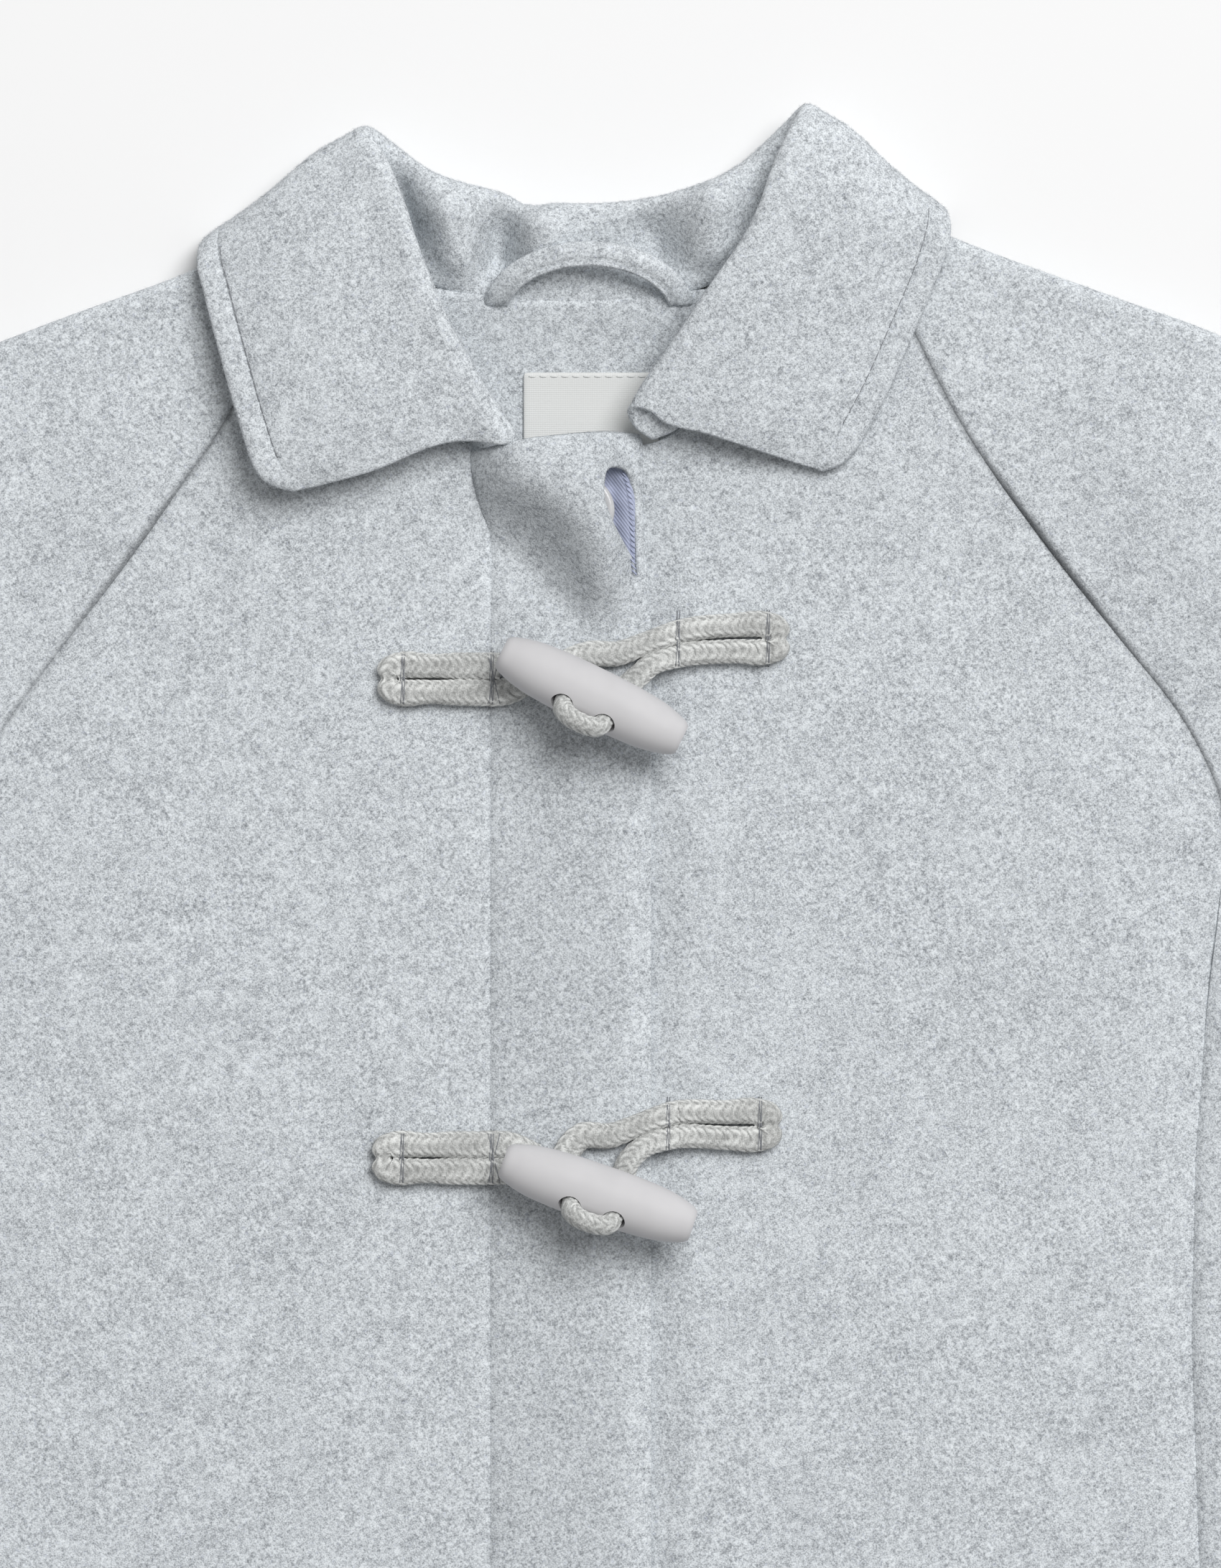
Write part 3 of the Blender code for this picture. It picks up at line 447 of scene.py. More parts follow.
# Threads of those rows: shift along the cord and slant of each, and the two crossed at the band seam
BAR_THREADS = ((-0.35, 0.25), (0.0, -0.2), (0.4, 0.1))
BAR_POINTS = 9
BAR_OVERHANG = 0.3
CROSS_SHIFT = 0.6
CROSS_HALF = 0.9
CROSS_SLANT = 1.6
CORD_THREAD = 0.12
THREAD_CLEARANCE = 0.08
THREAD_SIDES = 6
STITCH_POINTS = 5

# Loose fibres of the nap: pieces they stand on, and how many
NAP = {
    "collar_nap": (("collar_cloth", "hanger_loop_strip", "back_neck_cloth"), 22000),
    "coat_nap": (("front_left_cloth", "front_right_cloth", "front_band_cloth", "sleeve_left_cloth",
                  "sleeve_right_cloth"), 42000),
}
NAP_LENGTH = (0.5, 1.3)
NAP_RADIUS = 0.035
NAP_RISE = 0.55
NAP_EDGE = 5.0
NAP_EDGE_TILT = 0.6
NAP_LEAST_TILT = -0.2
NAP_TWIST = 0.3
NAP_SEED = 11

# Stage, in metres, with the sensor in millimetres; the camera looks straight down
FLOOR_SIZE = 6.0
FLOOR_GAP = 0.00005
LIGHT_PLACE = (2.05, 2.8, 5.14)
LIGHT_SIZE = 4.2
CAMERA_OVER = (0.01007, 0.05966)
CAMERA_LEVEL = 0.008
SENSOR_HEIGHT = 24.0
VIEW_HEIGHT = 0.415
CAMERA_REACH = 100.0

# Soft folds of the laid cloth: ridges from one point to another, and the shares where they rise and fade
RIDGE_ENDS = (-0.15, 0.3, 0.7, 1.15)
FOLDS = [
    # start x, start y, end x, end y, half width, height
    (-30.0, 133.0, 8.0, 100.0, 8.0, -1.8),
    (-80.0, 128.0, -52.0, 60.0, 22.0, 0.5),
    (-140.0, 66.0, -95.0, -30.0, 24.0, 0.6),
    (60.0, 126.0, 95.0, 40.0, 24.0, 0.5),
    (148.0, 74.0, 110.0, -10.0, 22.0, 0.7),
    (120.0, -60.0, 96.0, -200.0, 30.0, 0.5),
    (-90.0, -70.0, -118.0, -210.0, 32.0, 0.5),
    (60.0, -90.0, 70.0, -230.0, 26.0, -0.4),
]
SLEEVE_FOLDS = [
    # start x, start y, end x, end y, half width, height; on the left sleeve x is mirrored
    (182.0, 52.0, 238.0, 20.0, 9.0, 1.3),
    (180.0, 36.0, 226.0, -34.0, 10.0, 1.0),
    (184.0, 44.0, 232.0, -6.0, 7.0, -0.9),
    (246.0, -20.0, 222.0, -96.0, 13.0, 0.9),
    (196.0, -70.0, 240.0, -132.0, 14.0, -0.8),
    (250.0, -120.0, 216.0, -196.0, 16.0, 0.8),
    (150.0, 120.0, 206.0, 70.0, 18.0, 0.7),
]


def ramp(value, start, end):
    """Smooth step from 0 at start to 1 at end."""
    share = np.clip((value - start) / (end - start), 0.0, 1.0)
    return share * share * (3.0 - 2.0 * share)


def hermite(knots, tangent, index, length, step):
    """One point of a cubic between two knots."""
    square = step * step
    cube = square * step
    return ((2 * cube - 3 * square + 1) * knots[index] + (cube - 2 * square + step) * length * tangent[index]
            + (3 * square - 2 * cube) * knots[index + 1] + (cube - square) * length * tangent[index + 1])


def dense_curve(points, steps=16):
    """Closely spaced points on a smooth curve through the given ones."""
    knots = np.array(points, dtype=float)
    chord = np.linalg.norm(np.diff(knots, axis=0), axis=1)
    place = np.concatenate(([0.0], np.cumsum(chord)))
    tangent = np.gradient(knots, place, axis=0)
    dense = [hermite(knots, tangent, index, length, step) for index, length in enumerate(chord)
             for step in np.linspace(0.0, 1.0, steps, endpoint=False)]
    return np.array(dense + [knots[-1]])


def run_length(points):
    """Distance along a chain of points."""
    return np.concatenate(([0.0], np.cumsum(np.linalg.norm(np.diff(points, axis=0), axis=1))))


def resample(points, places):
    """Points of a chain at shares of its length."""
    points = np.asarray(points, dtype=float)
    run = run_length(points)
    wanted = np.asarray(places) * run[-1]
    return np.stack([np.interp(wanted, run, points[:, axis]) for axis in range(points.shape[1])], axis=1)


def smooth_curve(points, count):
    """Evenly spaced points on a smooth curve through the given ones."""
    return resample(dense_curve(points), np.linspace(0.0, 1.0, count))


def edge_shares(length, spacing):
    """Shares of a length, closer together near both ends where a seam or hem rolls."""
    near = np.array(EDGE_INSETS) / length
    count = max(int(length / spacing), 3)
    inside = np.linspace(near[-1], 1.0 - near[-1], count)
    return np.concatenate((near[:-1], inside, 1.0 - near[:-1][::-1]))


def collar_lift(y):
    """Rise of the layers over the part of the collar that lies under the shoulders."""
    return COLLAR_RISE * ramp(y, RISE_START_Y, RISE_END_Y)


def fly_bulge(x, y):
    """Bulge of the cloth over the button behind the fly."""
    square = (x - FLY_CENTRE[0]) ** 2 + (y - FLY_CENTRE[1]) ** 2
    return FLY_BULGE * np.exp(-square / (2.0 * FLY_SPREAD ** 2))


def ridge(x, y, start_x, start_y, end_x, end_y, half, rise):
    """Height of one soft fold at a place, fading at both ends."""
    run_x, run_y = end_x - start_x, end_y - start_y
    length = math.hypot(run_x, run_y)
    along = ((x - start_x) * run_x + (y - start_y) * run_y) / length
    across = ((x - start_x) * run_y - (y - start_y) * run_x) / length
    start, full, fading, gone = [share * length for share in RIDGE_ENDS]
    ends = ramp(along, start, full) * (1.0 - ramp(along, fading, gone))
    return rise * ends * math.exp(-(across / half) ** 2)


def soft_folds(x, y):
    """Height of the soft folds of the fronts at a place."""
    return sum(ridge(x, y, *fold) for fold in FOLDS)


def band_folds(x, y):
    """Folds of the band, with the crest that slants across it."""
    apart = CREST_LINE - (x, y)
    distance = np.hypot(apart[:, 0], apart[:, 1])
    nearest = int(np.argmin(distance))
    below, above = FLY_CREST_HALF
    half = above if apart[nearest, 0] + apart[nearest, 1] < 0.0 else below
    start, full, fading, gone = FLY_CREST_ENDS
    share = nearest / (len(CREST_LINE) - 1)
    ends = ramp(share, start, full) * (1.0 - ramp(share, fading, gone)) * (1.0 - ramp(x, *FLY_DROP_SPAN))
    return soft_folds(x, y) + FLY_CREST_HEIGHT * ends * math.exp(-(distance[nearest] / half) ** 2)


CREST_LINE = smooth_curve(FLY_CREST, CREST_POINTS)


def side_half(share):
    """Half width of the body at a share of the way from hem to underarm."""
    return np.interp(share, [row[0] for row in SIDE_EDGE], [row[1] for row in SIDE_EDGE])


def back_height(x, y):
    """Underside of the back: on the surface, and over the collar beneath the shoulders."""
    return collar_lift(y)


def front_height(x, y):
    """Underside of the fronts: level inside, rounding down to the side seams."""
    underarm_y = RAGLAN_RIGHT[0][1] if x > 0 else RAGLAN_LEFT[0][1]
    inset = side_half(min((y - HEM_Y) / (underarm_y - HEM_Y), 1.0)) - abs(x)
    rounding = math.sqrt(1.0 - (1.0 - min(max(inset / SIDE_ROUNDING, 0.0), 1.0)) ** 2)
    fade = 1.0 - ramp(y, underarm_y - SIDE_DROP_LENGTH, underarm_y)
    return FRONT_HEIGHT - (FRONT_HEIGHT - SIDE_SEAM_HEIGHT) * (1.0 - rounding) * fade + collar_lift(y)


def overlap_height(x, y):
    """Underside of the overlapping front and its band."""
    rise = OVERLAP_RISE * ramp(x, BAND_LEFT - OVERLAP_BLEND, BAND_LEFT)
    return front_height(x, y) + rise + fly_bulge(x, y)


def coat_top(x, y):
    """Top of the cloth that a fastening lies on."""
    return (overlap_height(x, y) if x < BAND_RIGHT else front_height(x, y)) + WOOL


def band_left_edge(y):
    """Left edge of the band, leaning out near the neck."""
    return np.interp(y, [BAND_LEAN_Y, BAND_NECK[0][1]], [BAND_LEFT, BAND_NECK[0][0]])


def body_edge(sign, raglan):
    """Side edge and raglan seam in one run from the hem to the neck."""
    shares = np.linspace(0.0, 1.0, SIDE_POINTS)
    underarm_y = raglan[0][1]
    side = [(sign * side_half(share), HEM_Y + share * (underarm_y - HEM_Y)) for share in shares]
    return np.concatenate((np.array(side), dense_curve(raglan)[1:]))


def coons(left, right, bottom, top, across, up):
    """Plan grid that fills four edges, at the given shares across and up."""
    left, right = resample(left, up), resample(right, up)
    bottom, top = resample(bottom, across), resample(top, across)
    grid = np.zeros((len(up), len(across), 2))
    for row, v in enumerate(up):
        for column, u in enumerate(across):
            ruled = (1 - u) * left[row] + u * right[row] + (1 - v) * bottom[column] + v * top[column]
            corners = ((1 - u) * (1 - v) * left[0] + u * (1 - v) * right[0]
                       + (1 - u) * v * left[-1] + u * v * right[-1])
            grid[row, column] = ruled - corners
    return grid


class Value:
    """A shader socket that takes part in arithmetic."""

    def __init__(self, finish, socket):
        self.finish = finish
        self.socket = socket

    def math(self, operation, first, second=0.0):
        """One Math node."""
        node = self.finish.node("ShaderNodeMath", {"operation": operation}, {0: first, 1: second})
        return Value(self.finish, node.outputs[0])

    def __add__(self, other):
        return self.math("ADD", self, other)

    def __radd__(self, other):
        return self.math("ADD", other, self)

    def __sub__(self, other):
        return self.math("SUBTRACT", self, other)

    def __rsub__(self, other):
        return self.math("SUBTRACT", other, self)

    def __mul__(self, other):
        return self.math("MULTIPLY", self, other)

    def __rmul__(self, other):
        return self.math("MULTIPLY", other, self)

    def sine(self):
        """Sine of the value."""
        return self.math("SINE", self)

    def step(self, start, end):
        """Smooth step from 0 at start to 1 at end."""
        node = self.finish.node("ShaderNodeMapRange", {"interpolation_type": "SMOOTHSTEP"},
                                {"Value": self, "From Min": start, "From Max": end})
        return Value(self.finish, node.outputs[0])


class Finish:
    """A material in the making."""

    def __init__(self, name, **constants):
        self.material = bpy.data.materials.new(name)
        self.material.use_nodes = True
        self.tree = self.material.node_tree
        self.shader = self.tree.nodes["Principled BSDF"]
        for socket, value in constants.items():
            self.shader.inputs[socket.replace("_", " ")].default_value = value

    def feed(self, socket, value):
        """Link a value to a socket, or set it as a constant."""
        if isinstance(value, Value):
            self.tree.links.new(value.socket, socket)
        elif value is not None:
            socket.default_value = value

    def node(self, kind, settings, inputs):
        """Any node, with its settings and inputs."""
        node = self.tree.nodes.new(kind)
        for name, value in settings.items():
            setattr(node, name, value)
        for name, value in inputs.items():
            self.feed(node.inputs[name], value)
        return node

    def place(self, turn=0.0, stretch=(1.0, 1.0, 1.0)):
        """Object coordinates, turned about Z and drawn out along the turned axes."""
        source = self.node("ShaderNodeTexCoord", {}, {})
        node = self.node("ShaderNodeMapping", {"vector_type": "TEXTURE"},
                         {"Vector": Value(self, source.outputs["Object"]), "Rotation": (0.0, 0.0, turn),
                          "Scale": stretch})
        return Value(self, node.outputs[0])

    def strip(self):
        """Place along and around a cord or barrel, from its UV map."""
        source = self.node("ShaderNodeTexCoord", {}, {})
        parts = self.node("ShaderNodeSeparateXYZ", {}, {0: Value(self, source.outputs["UV"])})
        return Value(self, parts.outputs[0]), Value(self, parts.outputs[1])

    def axes(self):
        """Object coordinates as three values."""
        parts = self.node("ShaderNodeSeparateXYZ", {}, {0: self.place()})
        return [Value(self, output) for output in parts.outputs]

    def attribute(self, name):
        """A value kept on the mesh."""
        return Value(self, self.node("ShaderNodeAttribute", {"attribute_name": name}, {}).outputs["Fac"])

    def noise(self, size, detail=2.0, vector=None, roughness=0.5):
        """Noise with features of the given size in metres."""
        node = self.node("ShaderNodeTexNoise", {},
                         {"Vector": vector or self.place(), "Scale": 1.0 / size, "Detail": detail,
                          "Roughness": roughness})
        return Value(self, node.outputs[0])

    def mix(self, factor, first, second):
        """Colour between two colours."""
        first, second = [(*value, 1.0) if isinstance(value, tuple) and len(value) == 3 else value
                         for value in (first, second)]
        node = self.node("ShaderNodeMix", {"data_type": "RGBA"}, {0: factor, 6: first, 7: second})
        return Value(self, node.outputs[2])

    def done(self, colour, height=None, depth=0.0, strength=1.0, roughness=None):
        """Feed the shader and return the material."""
        self.feed(self.shader.inputs["Base Color"], colour)
        self.feed(self.shader.inputs["Roughness"], roughness)
        if height is not None:
            bump = self.node("ShaderNodeBump", {},
                             {"Strength": strength, "Distance": depth, "Height": height})
            self.feed(self.shader.inputs["Normal"], Value(self, bump.outputs[0]))
        return self.material


def shade(colour, factor):
    """A colour made lighter or darker."""
    return tuple(min(channel * factor, 1.0) for channel in colour)


def plain(colour):
    """A colour property as a tuple."""
    return tuple(colour[:3])


def wool_material(settings):
    """Felted wool: pale and dark fibre matted together in small clouds, with painted shade in the seams'
    grooves, over the band and beside the band's edge.
    """
    finish = Finish("wool_finish", Roughness=0.95, Sheen_Weight=0.1, Sheen_Roughness=0.5,
                    Specular_IOR_Level=0.12)
    colour = plain(settings.wool_colour)
    fine = finish.noise(0.00042, 1.0, roughness=0.7)
    one_way = finish.noise(0.0008, 1.0, finish.place(0.6, (1.8, 1.0, 1.0)))
    other_way = finish.noise(0.0008, 1.0, finish.place(2.2, (1.8, 1.0, 1.0)))
    tuft = finish.noise(0.0019, 1.0)
    cloud = finish.noise(0.0048, 1.0)
    broad = finish.noise(0.018, 1.0)
    matted = (fine - 0.5) * 1.9 + (one_way - 0.5) * 0.85 + (other_way - 0.5) * 0.85
    gathered = (tuft - 0.5) * 0.6 + (cloud - 0.5) * 0.4 + (broad - 0.5) * 0.22
    tone = (matted + gathered) * 0.55 + 0.66
    pale = finish.mix(tone.step(0.1, 1.1), plain(settings.fleck_colour), shade(colour, 1.28))
    blue = finish.noise(0.0011, 1.0).step(0.64, 0.74)
    tinted = finish.mix(blue * 0.2, pale, plain(settings.lining_colour))
    # Painted shade, kept on the mesh: in the seams' grooves, over the band and on the right front beside the
    # band's edge
    with_painted_shade = finish.mix(finish.attribute("seam"), tinted, shade(plain(settings.fleck_colour), 0.3))
    return finish.done(with_painted_shade, matted, 0.00012, 0.5)


def lining_material(settings):
    """Fine twill with slanting ribs."""
    finish = Finish("lining_finish", Roughness=0.55, Specular_IOR_Level=0.3, Sheen_Weight=0.1)
    colour = plain(settings.lining_colour)
    x, y, _ = finish.axes()
    rib = ((x * 0.8 + y * 0.6) * 9000.0).sine() * 0.5 + 0.5
    worn = finish.noise(0.003, 3.0)
    mixed = finish.mix(rib * 0.6 + (worn - 0.5) * 0.6, shade(colour, 0.78), shade(colour, 1.18))
    return finish.done(mixed, rib, 0.00012, 0.6)


def label_material(settings):
    """Bare woven tape with close ribs."""
    finish = Finish("label_finish", Roughness=0.7, Specular_IOR_Level=0.25, Sheen_Weight=0.1)
    colour = plain(settings.label_colour)
    x, y, _ = finish.axes()
    rib = (y * 12500.0).sine() * 0.5 + 0.5
    end = (x * 10500.0).sine() * 0.5 + 0.5
    weave = rib * 0.7 + end * 0.3
    mixed = finish.mix(weave, shade(colour, 0.9), shade(colour, 1.04))
    return finish.done(mixed, weave, 0.0001, 0.5)


def braid_material(settings):
    """Plaited cotton cord, with painted shade between its strands, and lightly furred."""
    finish = Finish("braid_finish", Roughness=0.9, Sheen_Weight=0.12, Specular_IOR_Level=0.2)
    colour = plain(settings.braid_colour)
    high = finish.attribute("relief")
    yarn = finish.noise(0.0004, 2.0, roughness=0.7)
    uneven = finish.noise(0.004, 2.0)
    # Painted shade from the plait's height: darker between the strands, lighter on them; the yarn and
    # unevenness are the cord's own
    tone = (high * 0.75 + (yarn - 0.5) * 0.9 + (uneven - 0.5) * 0.3).step(-0.05, 0.95)
    mixed = finish.mix(tone, shade(colour, 0.42), shade(colour, 1.25))
    return finish.done(mixed, yarn, 0.0002, 0.6)


def toggle_material(settings):
    """Turned and lacquered, with faint grain along its length."""
    finish = Finish("toggle_finish", Specular_IOR_Level=0.22, Coat_Weight=0.03, Coat_Roughness=0.4)
    colour = plain(settings.toggle_colour)
    along, around = finish.strip()
    join = finish.node("ShaderNodeCombineXYZ", {}, {0: along * 0.05, 1: around, 2: 0.0})
    grain = finish.noise(0.03, 4.0, Value(finish, join.outputs[0]), 0.6)
    cloud = finish.noise(0.008, 2.0)
    tone = (grain * 0.7 + cloud * 0.3).step(0.3, 0.7)
    mixed = finish.mix(tone, shade(colour, 0.93), shade(colour, 1.05))
    return finish.done(mixed, grain, 0.00006, 0.3, grain * 0.2 + 0.5)


def pearl_material(settings):
    """Pale pearly button."""
    finish = Finish("pearl_finish", Roughness=0.28, Coat_Weight=0.3, Coat_Roughness=0.2)
    colour = plain(settings.button_colour)
    swirl = finish.noise(0.004, 3.0)
    return finish.done(finish.mix(swirl.step(0.35, 0.65), shade(colour, 0.92), shade(colour, 1.08)))


def thread_material(settings):
    """Sewing thread, darker than the wool; on the collar the dark thread also paints the shade of its stitch
    groove.
    """
    finish = Finish("thread_finish", Roughness=0.7, Sheen_Weight=0.1)
    colour = plain(settings.thread_colour)
    ply = finish.noise(0.0005, 2.0)
    return finish.done(finish.mix(ply.step(0.35, 0.65), shade(colour, 0.8), shade(colour, 1.15)))


def floor_material(settings):
    """Plain pale surface."""
    finish = Finish("floor_finish", Roughness=0.9, Specular_IOR_Level=0.1)
    colour = plain(settings.floor_colour)
    return finish.done(finish.mix(finish.noise(0.2, 1.0), shade(colour, 0.995), shade(colour, 1.005)))


FINISHES = {
    "wool": ("wool_finish", wool_material),
    "lining_twill": ("lining_finish", lining_material),
    "label_weave": ("label_finish", label_material),
    "braid": ("braid_finish", braid_material),
    "toggle_wood": ("toggle_finish", toggle_material),
    "button_pearl": ("pearl_finish", pearl_material),
    "thread": ("thread_finish", thread_material),
}


def finish_for(kind, settings):
    """The finish of a kind of piece, made once."""
    name, maker = FINISHES[kind]
    return bpy.data.materials.get(name) or maker(settings)


def clear_selection():
    """Object mode, with nothing selected."""
    if bpy.context.object and bpy.context.object.mode != "OBJECT":
        bpy.ops.object.mode_set(mode="OBJECT")
    bpy.ops.object.select_all(action="DESELECT")


def make_object(name, points, faces):
    """Mesh object from points in millimetres, selected and active."""
    clear_selection()
    mesh = bpy.data.meshes.new(name)
    mesh.from_pydata([tuple(point) for point in np.asarray(points, dtype=float) * MM], [], faces)
    mesh.update()
    item = bpy.data.objects.new(name, mesh)
    bpy.context.scene.collection.objects.link(item)
    item.select_set(True)
    bpy.context.view_layer.objects.active = item
    return item


def add_modifier(item, kind, **values):
    """A modifier, applied at once."""
    modifier = item.modifiers.new(kind.lower(), kind)
    for name, value in values.items():
        setattr(modifier, name, value)
    bpy.context.view_layer.objects.active = item
    bpy.ops.object.modifier_apply(modifier=modifier.name)


def extrude_steps(steps):
    """Draw the active face out in edit mode, by steps of a move in millimetres and a scale."""
    bpy.ops.object.mode_set(mode="EDIT")
    bpy.ops.mesh.select_all(action="SELECT")
    for move, scale in steps:
        bpy.ops.mesh.extrude_region_move(TRANSFORM_OT_translate={"value": tuple(part * MM for part in move)})
        bpy.ops.transform.resize(value=scale)


def drill(item, radius, sides, place):
    """Cut a round hole right through a piece, along the Z axis of its place."""
    clear_selection()
    bpy.ops.mesh.primitive_cylinder_add(vertices=sides, radius=radius * MM, depth=DRILL_DEPTH * MM)
    cutter = bpy.context.object
    cutter.data.transform(place)
    add_modifier(item, "BOOLEAN", operation="DIFFERENCE", object=cutter)
    bpy.data.objects.remove(cutter, do_unlink=True)


def face_outwards(item):
    """Turn the faces of a closed mesh outwards."""
    shape = bmesh.new()
    shape.from_mesh(item.data)
    bmesh.ops.recalc_face_normals(shape, faces=shape.faces)
    shape.to_mesh(item.data)
    shape.free()


def settle(item, finish, nodes, settings):
    """Give a piece its finish, its body and the nodes it stands for."""
    missing = [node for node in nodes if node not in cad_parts]
    if missing:
        raise RuntimeError(f"the frame has no node {missing[0]}")
    face_outwards(item)
    item.data.shade_smooth()
    item.data.materials.clear()
    item.data.materials.append(finish_for(finish, settings))
    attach(item, "root")
    if nodes:
        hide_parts(*nodes)
    return item


def grid_faces(rows, columns, open_cells=(), around=False):
    """Quads of a grid, less the cells left open."""
    faces = []
    for row in range(rows - 1):
        for column in range(columns if around else columns - 1):
            if (row, column) not in open_cells:
                second = (column + 1) % columns
                faces.append((row * columns + column, row * columns + second,
                              (row + 1) * columns + second, (row + 1) * columns + column))
    return faces


def cloth(name, grid, thickness, offset, open_cells=(), seams=None, fullness=None):
    """Cloth piece: a grid of points given a wall with soft rims."""
    grid = np.asarray(grid, dtype=float)
    rows, columns = grid.shape[:2]
    item = make_object(name, grid.reshape(-1, 3), grid_faces(rows, columns, open_cells))
    if seams is not None:
        store = item.data.attributes.new("seam", "FLOAT", "POINT")
        store.data.foreach_set("value", np.ascontiguousarray(seams, dtype=np.float32).reshape(-1))
    if fullness is not None:
        group = item.vertex_groups.new(name="fullness")
        for index, share in enumerate(np.asarray(fullness).reshape(-1)):
            group.add([index], float(share), "REPLACE")
    add_modifier(item, "SOLIDIFY", thickness=thickness * MM, offset=offset,
                 vertex_group="fullness" if fullness is not None else "")
    add_modifier(item, "SUBSURF", levels=1, render_levels=1)
    return item


def cut_of(grid, open_cells=()):
    """Width, length and area of the flat cut of a grid, in metres."""
    grid = np.asarray(grid, dtype=float) * MM
    width = max(run_length(row)[-1] for row in grid)
    length = max(run_length(grid[:, column])[-1] for column in range(grid.shape[1]))
    first = np.cross(grid[1:, 1:] - grid[:-1, :-1], grid[1:, :-1] - grid[:-1, 1:])
    cells = np.linalg.norm(first, axis=2) / 2.0
    for row, column in open_cells:
        cells[row, column] = 0.0
    return width, length, float(min(cells.sum(), width * length))


def declare(grid, open_cells=()):
    """Work out the flat cut of a cloth piece, without keeping it."""
    width, length, area = cut_of(grid, open_cells)
    flat = tuple(math.ceil(side * 1e4) / 1e4 for side in (width, length))


def seam_roll(grid, left=0.0, right=0.0, left_reach=SEAM_REACH, right_reach=SEAM_REACH):
    """Sink the edges of a grid into their seams."""
    grid = np.array(grid, dtype=float)
    across = np.array([run_length(row[:, :2]) for row in grid])
    for depth, distance, reach in ((left, across, left_reach), (right, across[:, -1:] - across, right_reach)):
        grid[:, :, 2] -= np.asarray(depth) * np.exp(-(distance / reach) ** 2)
    return grid


def seam_shadow(grid, left=0.0, right=0.0):
    """Painted seam shadow: how deep in the seam at either edge each point of a grid lies, 0 to 1."""
    across = np.array([run_length(row[:, :2]) for row in grid])
    near, far = [np.exp(-(distance / SHADOW_REACH) ** 4) for distance in (across, across[:, -1:] - across)]
    return np.maximum(left * near, right * far)


def raglan_share(edge, raglan):
    """How much of a raglan seam shows at each point of a body edge: little below the underarm."""
    underarm_y = raglan[0][1]
    below, above = [underarm_y + shift for shift in UNDERARM_BLEND]
    return (SIDE_SHARE + (1.0 - SIDE_SHARE) * ramp(edge[:, 1], below, above))[:, None]


def painted_shade_fading_right(grid, share, full, gone):
    """Painted shade on a panel, fading from left to right."""
    return share * (1.0 - ramp(grid[:, :, 0], full, gone))


def painted_raglan_shade(edge, raglan, sign):
    """How dark the painted shade in a raglan seam's groove is along an edge: darkest at the neck, none below
    the underarm.
    """
    underarm_y, neck_y = raglan[0][1], raglan[-1][1]
    below, above = [underarm_y + shift for shift in UNDERARM_BLEND]
    low = RAGLAN_PAINTED_SHADE[sign]
    places = (below, above, (underarm_y + neck_y) / 2, neck_y)
    return np.interp(edge[:, 1], places, (0.0, low, low, 1.0))[:, None]


def raised(plan, height):
    """Plan grid given its height above the surface."""
    return np.array([[(x, y, height(x, y)) for x, y in row] for row in plan])


def back_grid(settings):
    """Back panel, laid on the surface."""
    left = body_edge(-1, RAGLAN_LEFT)
    right = body_edge(1, RAGLAN_RIGHT)
    top = dense_curve([left[-1], *BACK_NECK, right[-1]])
    spacing = settings.back_spacing / MM
    plan = coons(left, right, np.linspace(left[0], right[0], 2), top,
                 edge_shares(BACK_RUN, spacing), edge_shares(BODY_RUN, spacing))
    return raised(plan, back_height)


def front_left_grid(settings):
    """Left front, which laps over the other."""
    outer = body_edge(-1, RAGLAN_LEFT)
    inner = np.array([(band_left_edge(y), y) for y in (HEM_Y, BAND_LEAN_Y, BAND_NECK[0][1])])
    neck = dense_curve([outer[-1], *LEFT_NECK, inner[-1]])
    spacing = settings.cloth_spacing / MM
    plan = coons(outer, inner, np.linspace(outer[0], inner[0], 2), neck,
                 edge_shares(LEFT_RUN, spacing), edge_shares(BODY_RUN, spacing))
    folds = settings.fold_strength
    grid = raised(plan, lambda x, y: overlap_height(x, y) + folds * soft_folds(x, y))
    depth = settings.raglan_depth / MM * raglan_share(grid[:, 0], RAGLAN_LEFT)
    return seam_roll(grid, depth, settings.seam_depth / MM, RAGLAN_REACH)


def front_right_grid(settings):
    """Right front, under the band."""
    outer = body_edge(1, RAGLAN_RIGHT)
    inner = np.array([(UNDERLAP_LEFT, HEM_Y), (UNDERLAP_LEFT, RIGHT_NECK_START)])
    neck = dense_curve([inner[-1], *RIGHT_NECK, outer[-1]])
    spacing = settings.cloth_spacing / MM
    plan = coons(inner, outer, np.linspace(inner[0], outer[0], 2), neck,
                 edge_shares(RIGHT_RUN, spacing), edge_shares(BODY_RUN, spacing))
    folds = settings.fold_strength
    grid = raised(plan, lambda x, y: front_height(x, y)
                  - UNDERLAP_DIP * (1.0 - ramp(x, *UNDERLAP_RISE)) * (1.0 - ramp(y, *UNDERLAP_TOP))
                  + folds * soft_folds(x, y) * ramp(x, *UNDERLAP_FOLDS))
    depth = settings.raglan_depth / MM * raglan_share(grid[:, -1], RAGLAN_RIGHT)
    return seam_roll(grid, right=depth, right_reach=RAGLAN_REACH)


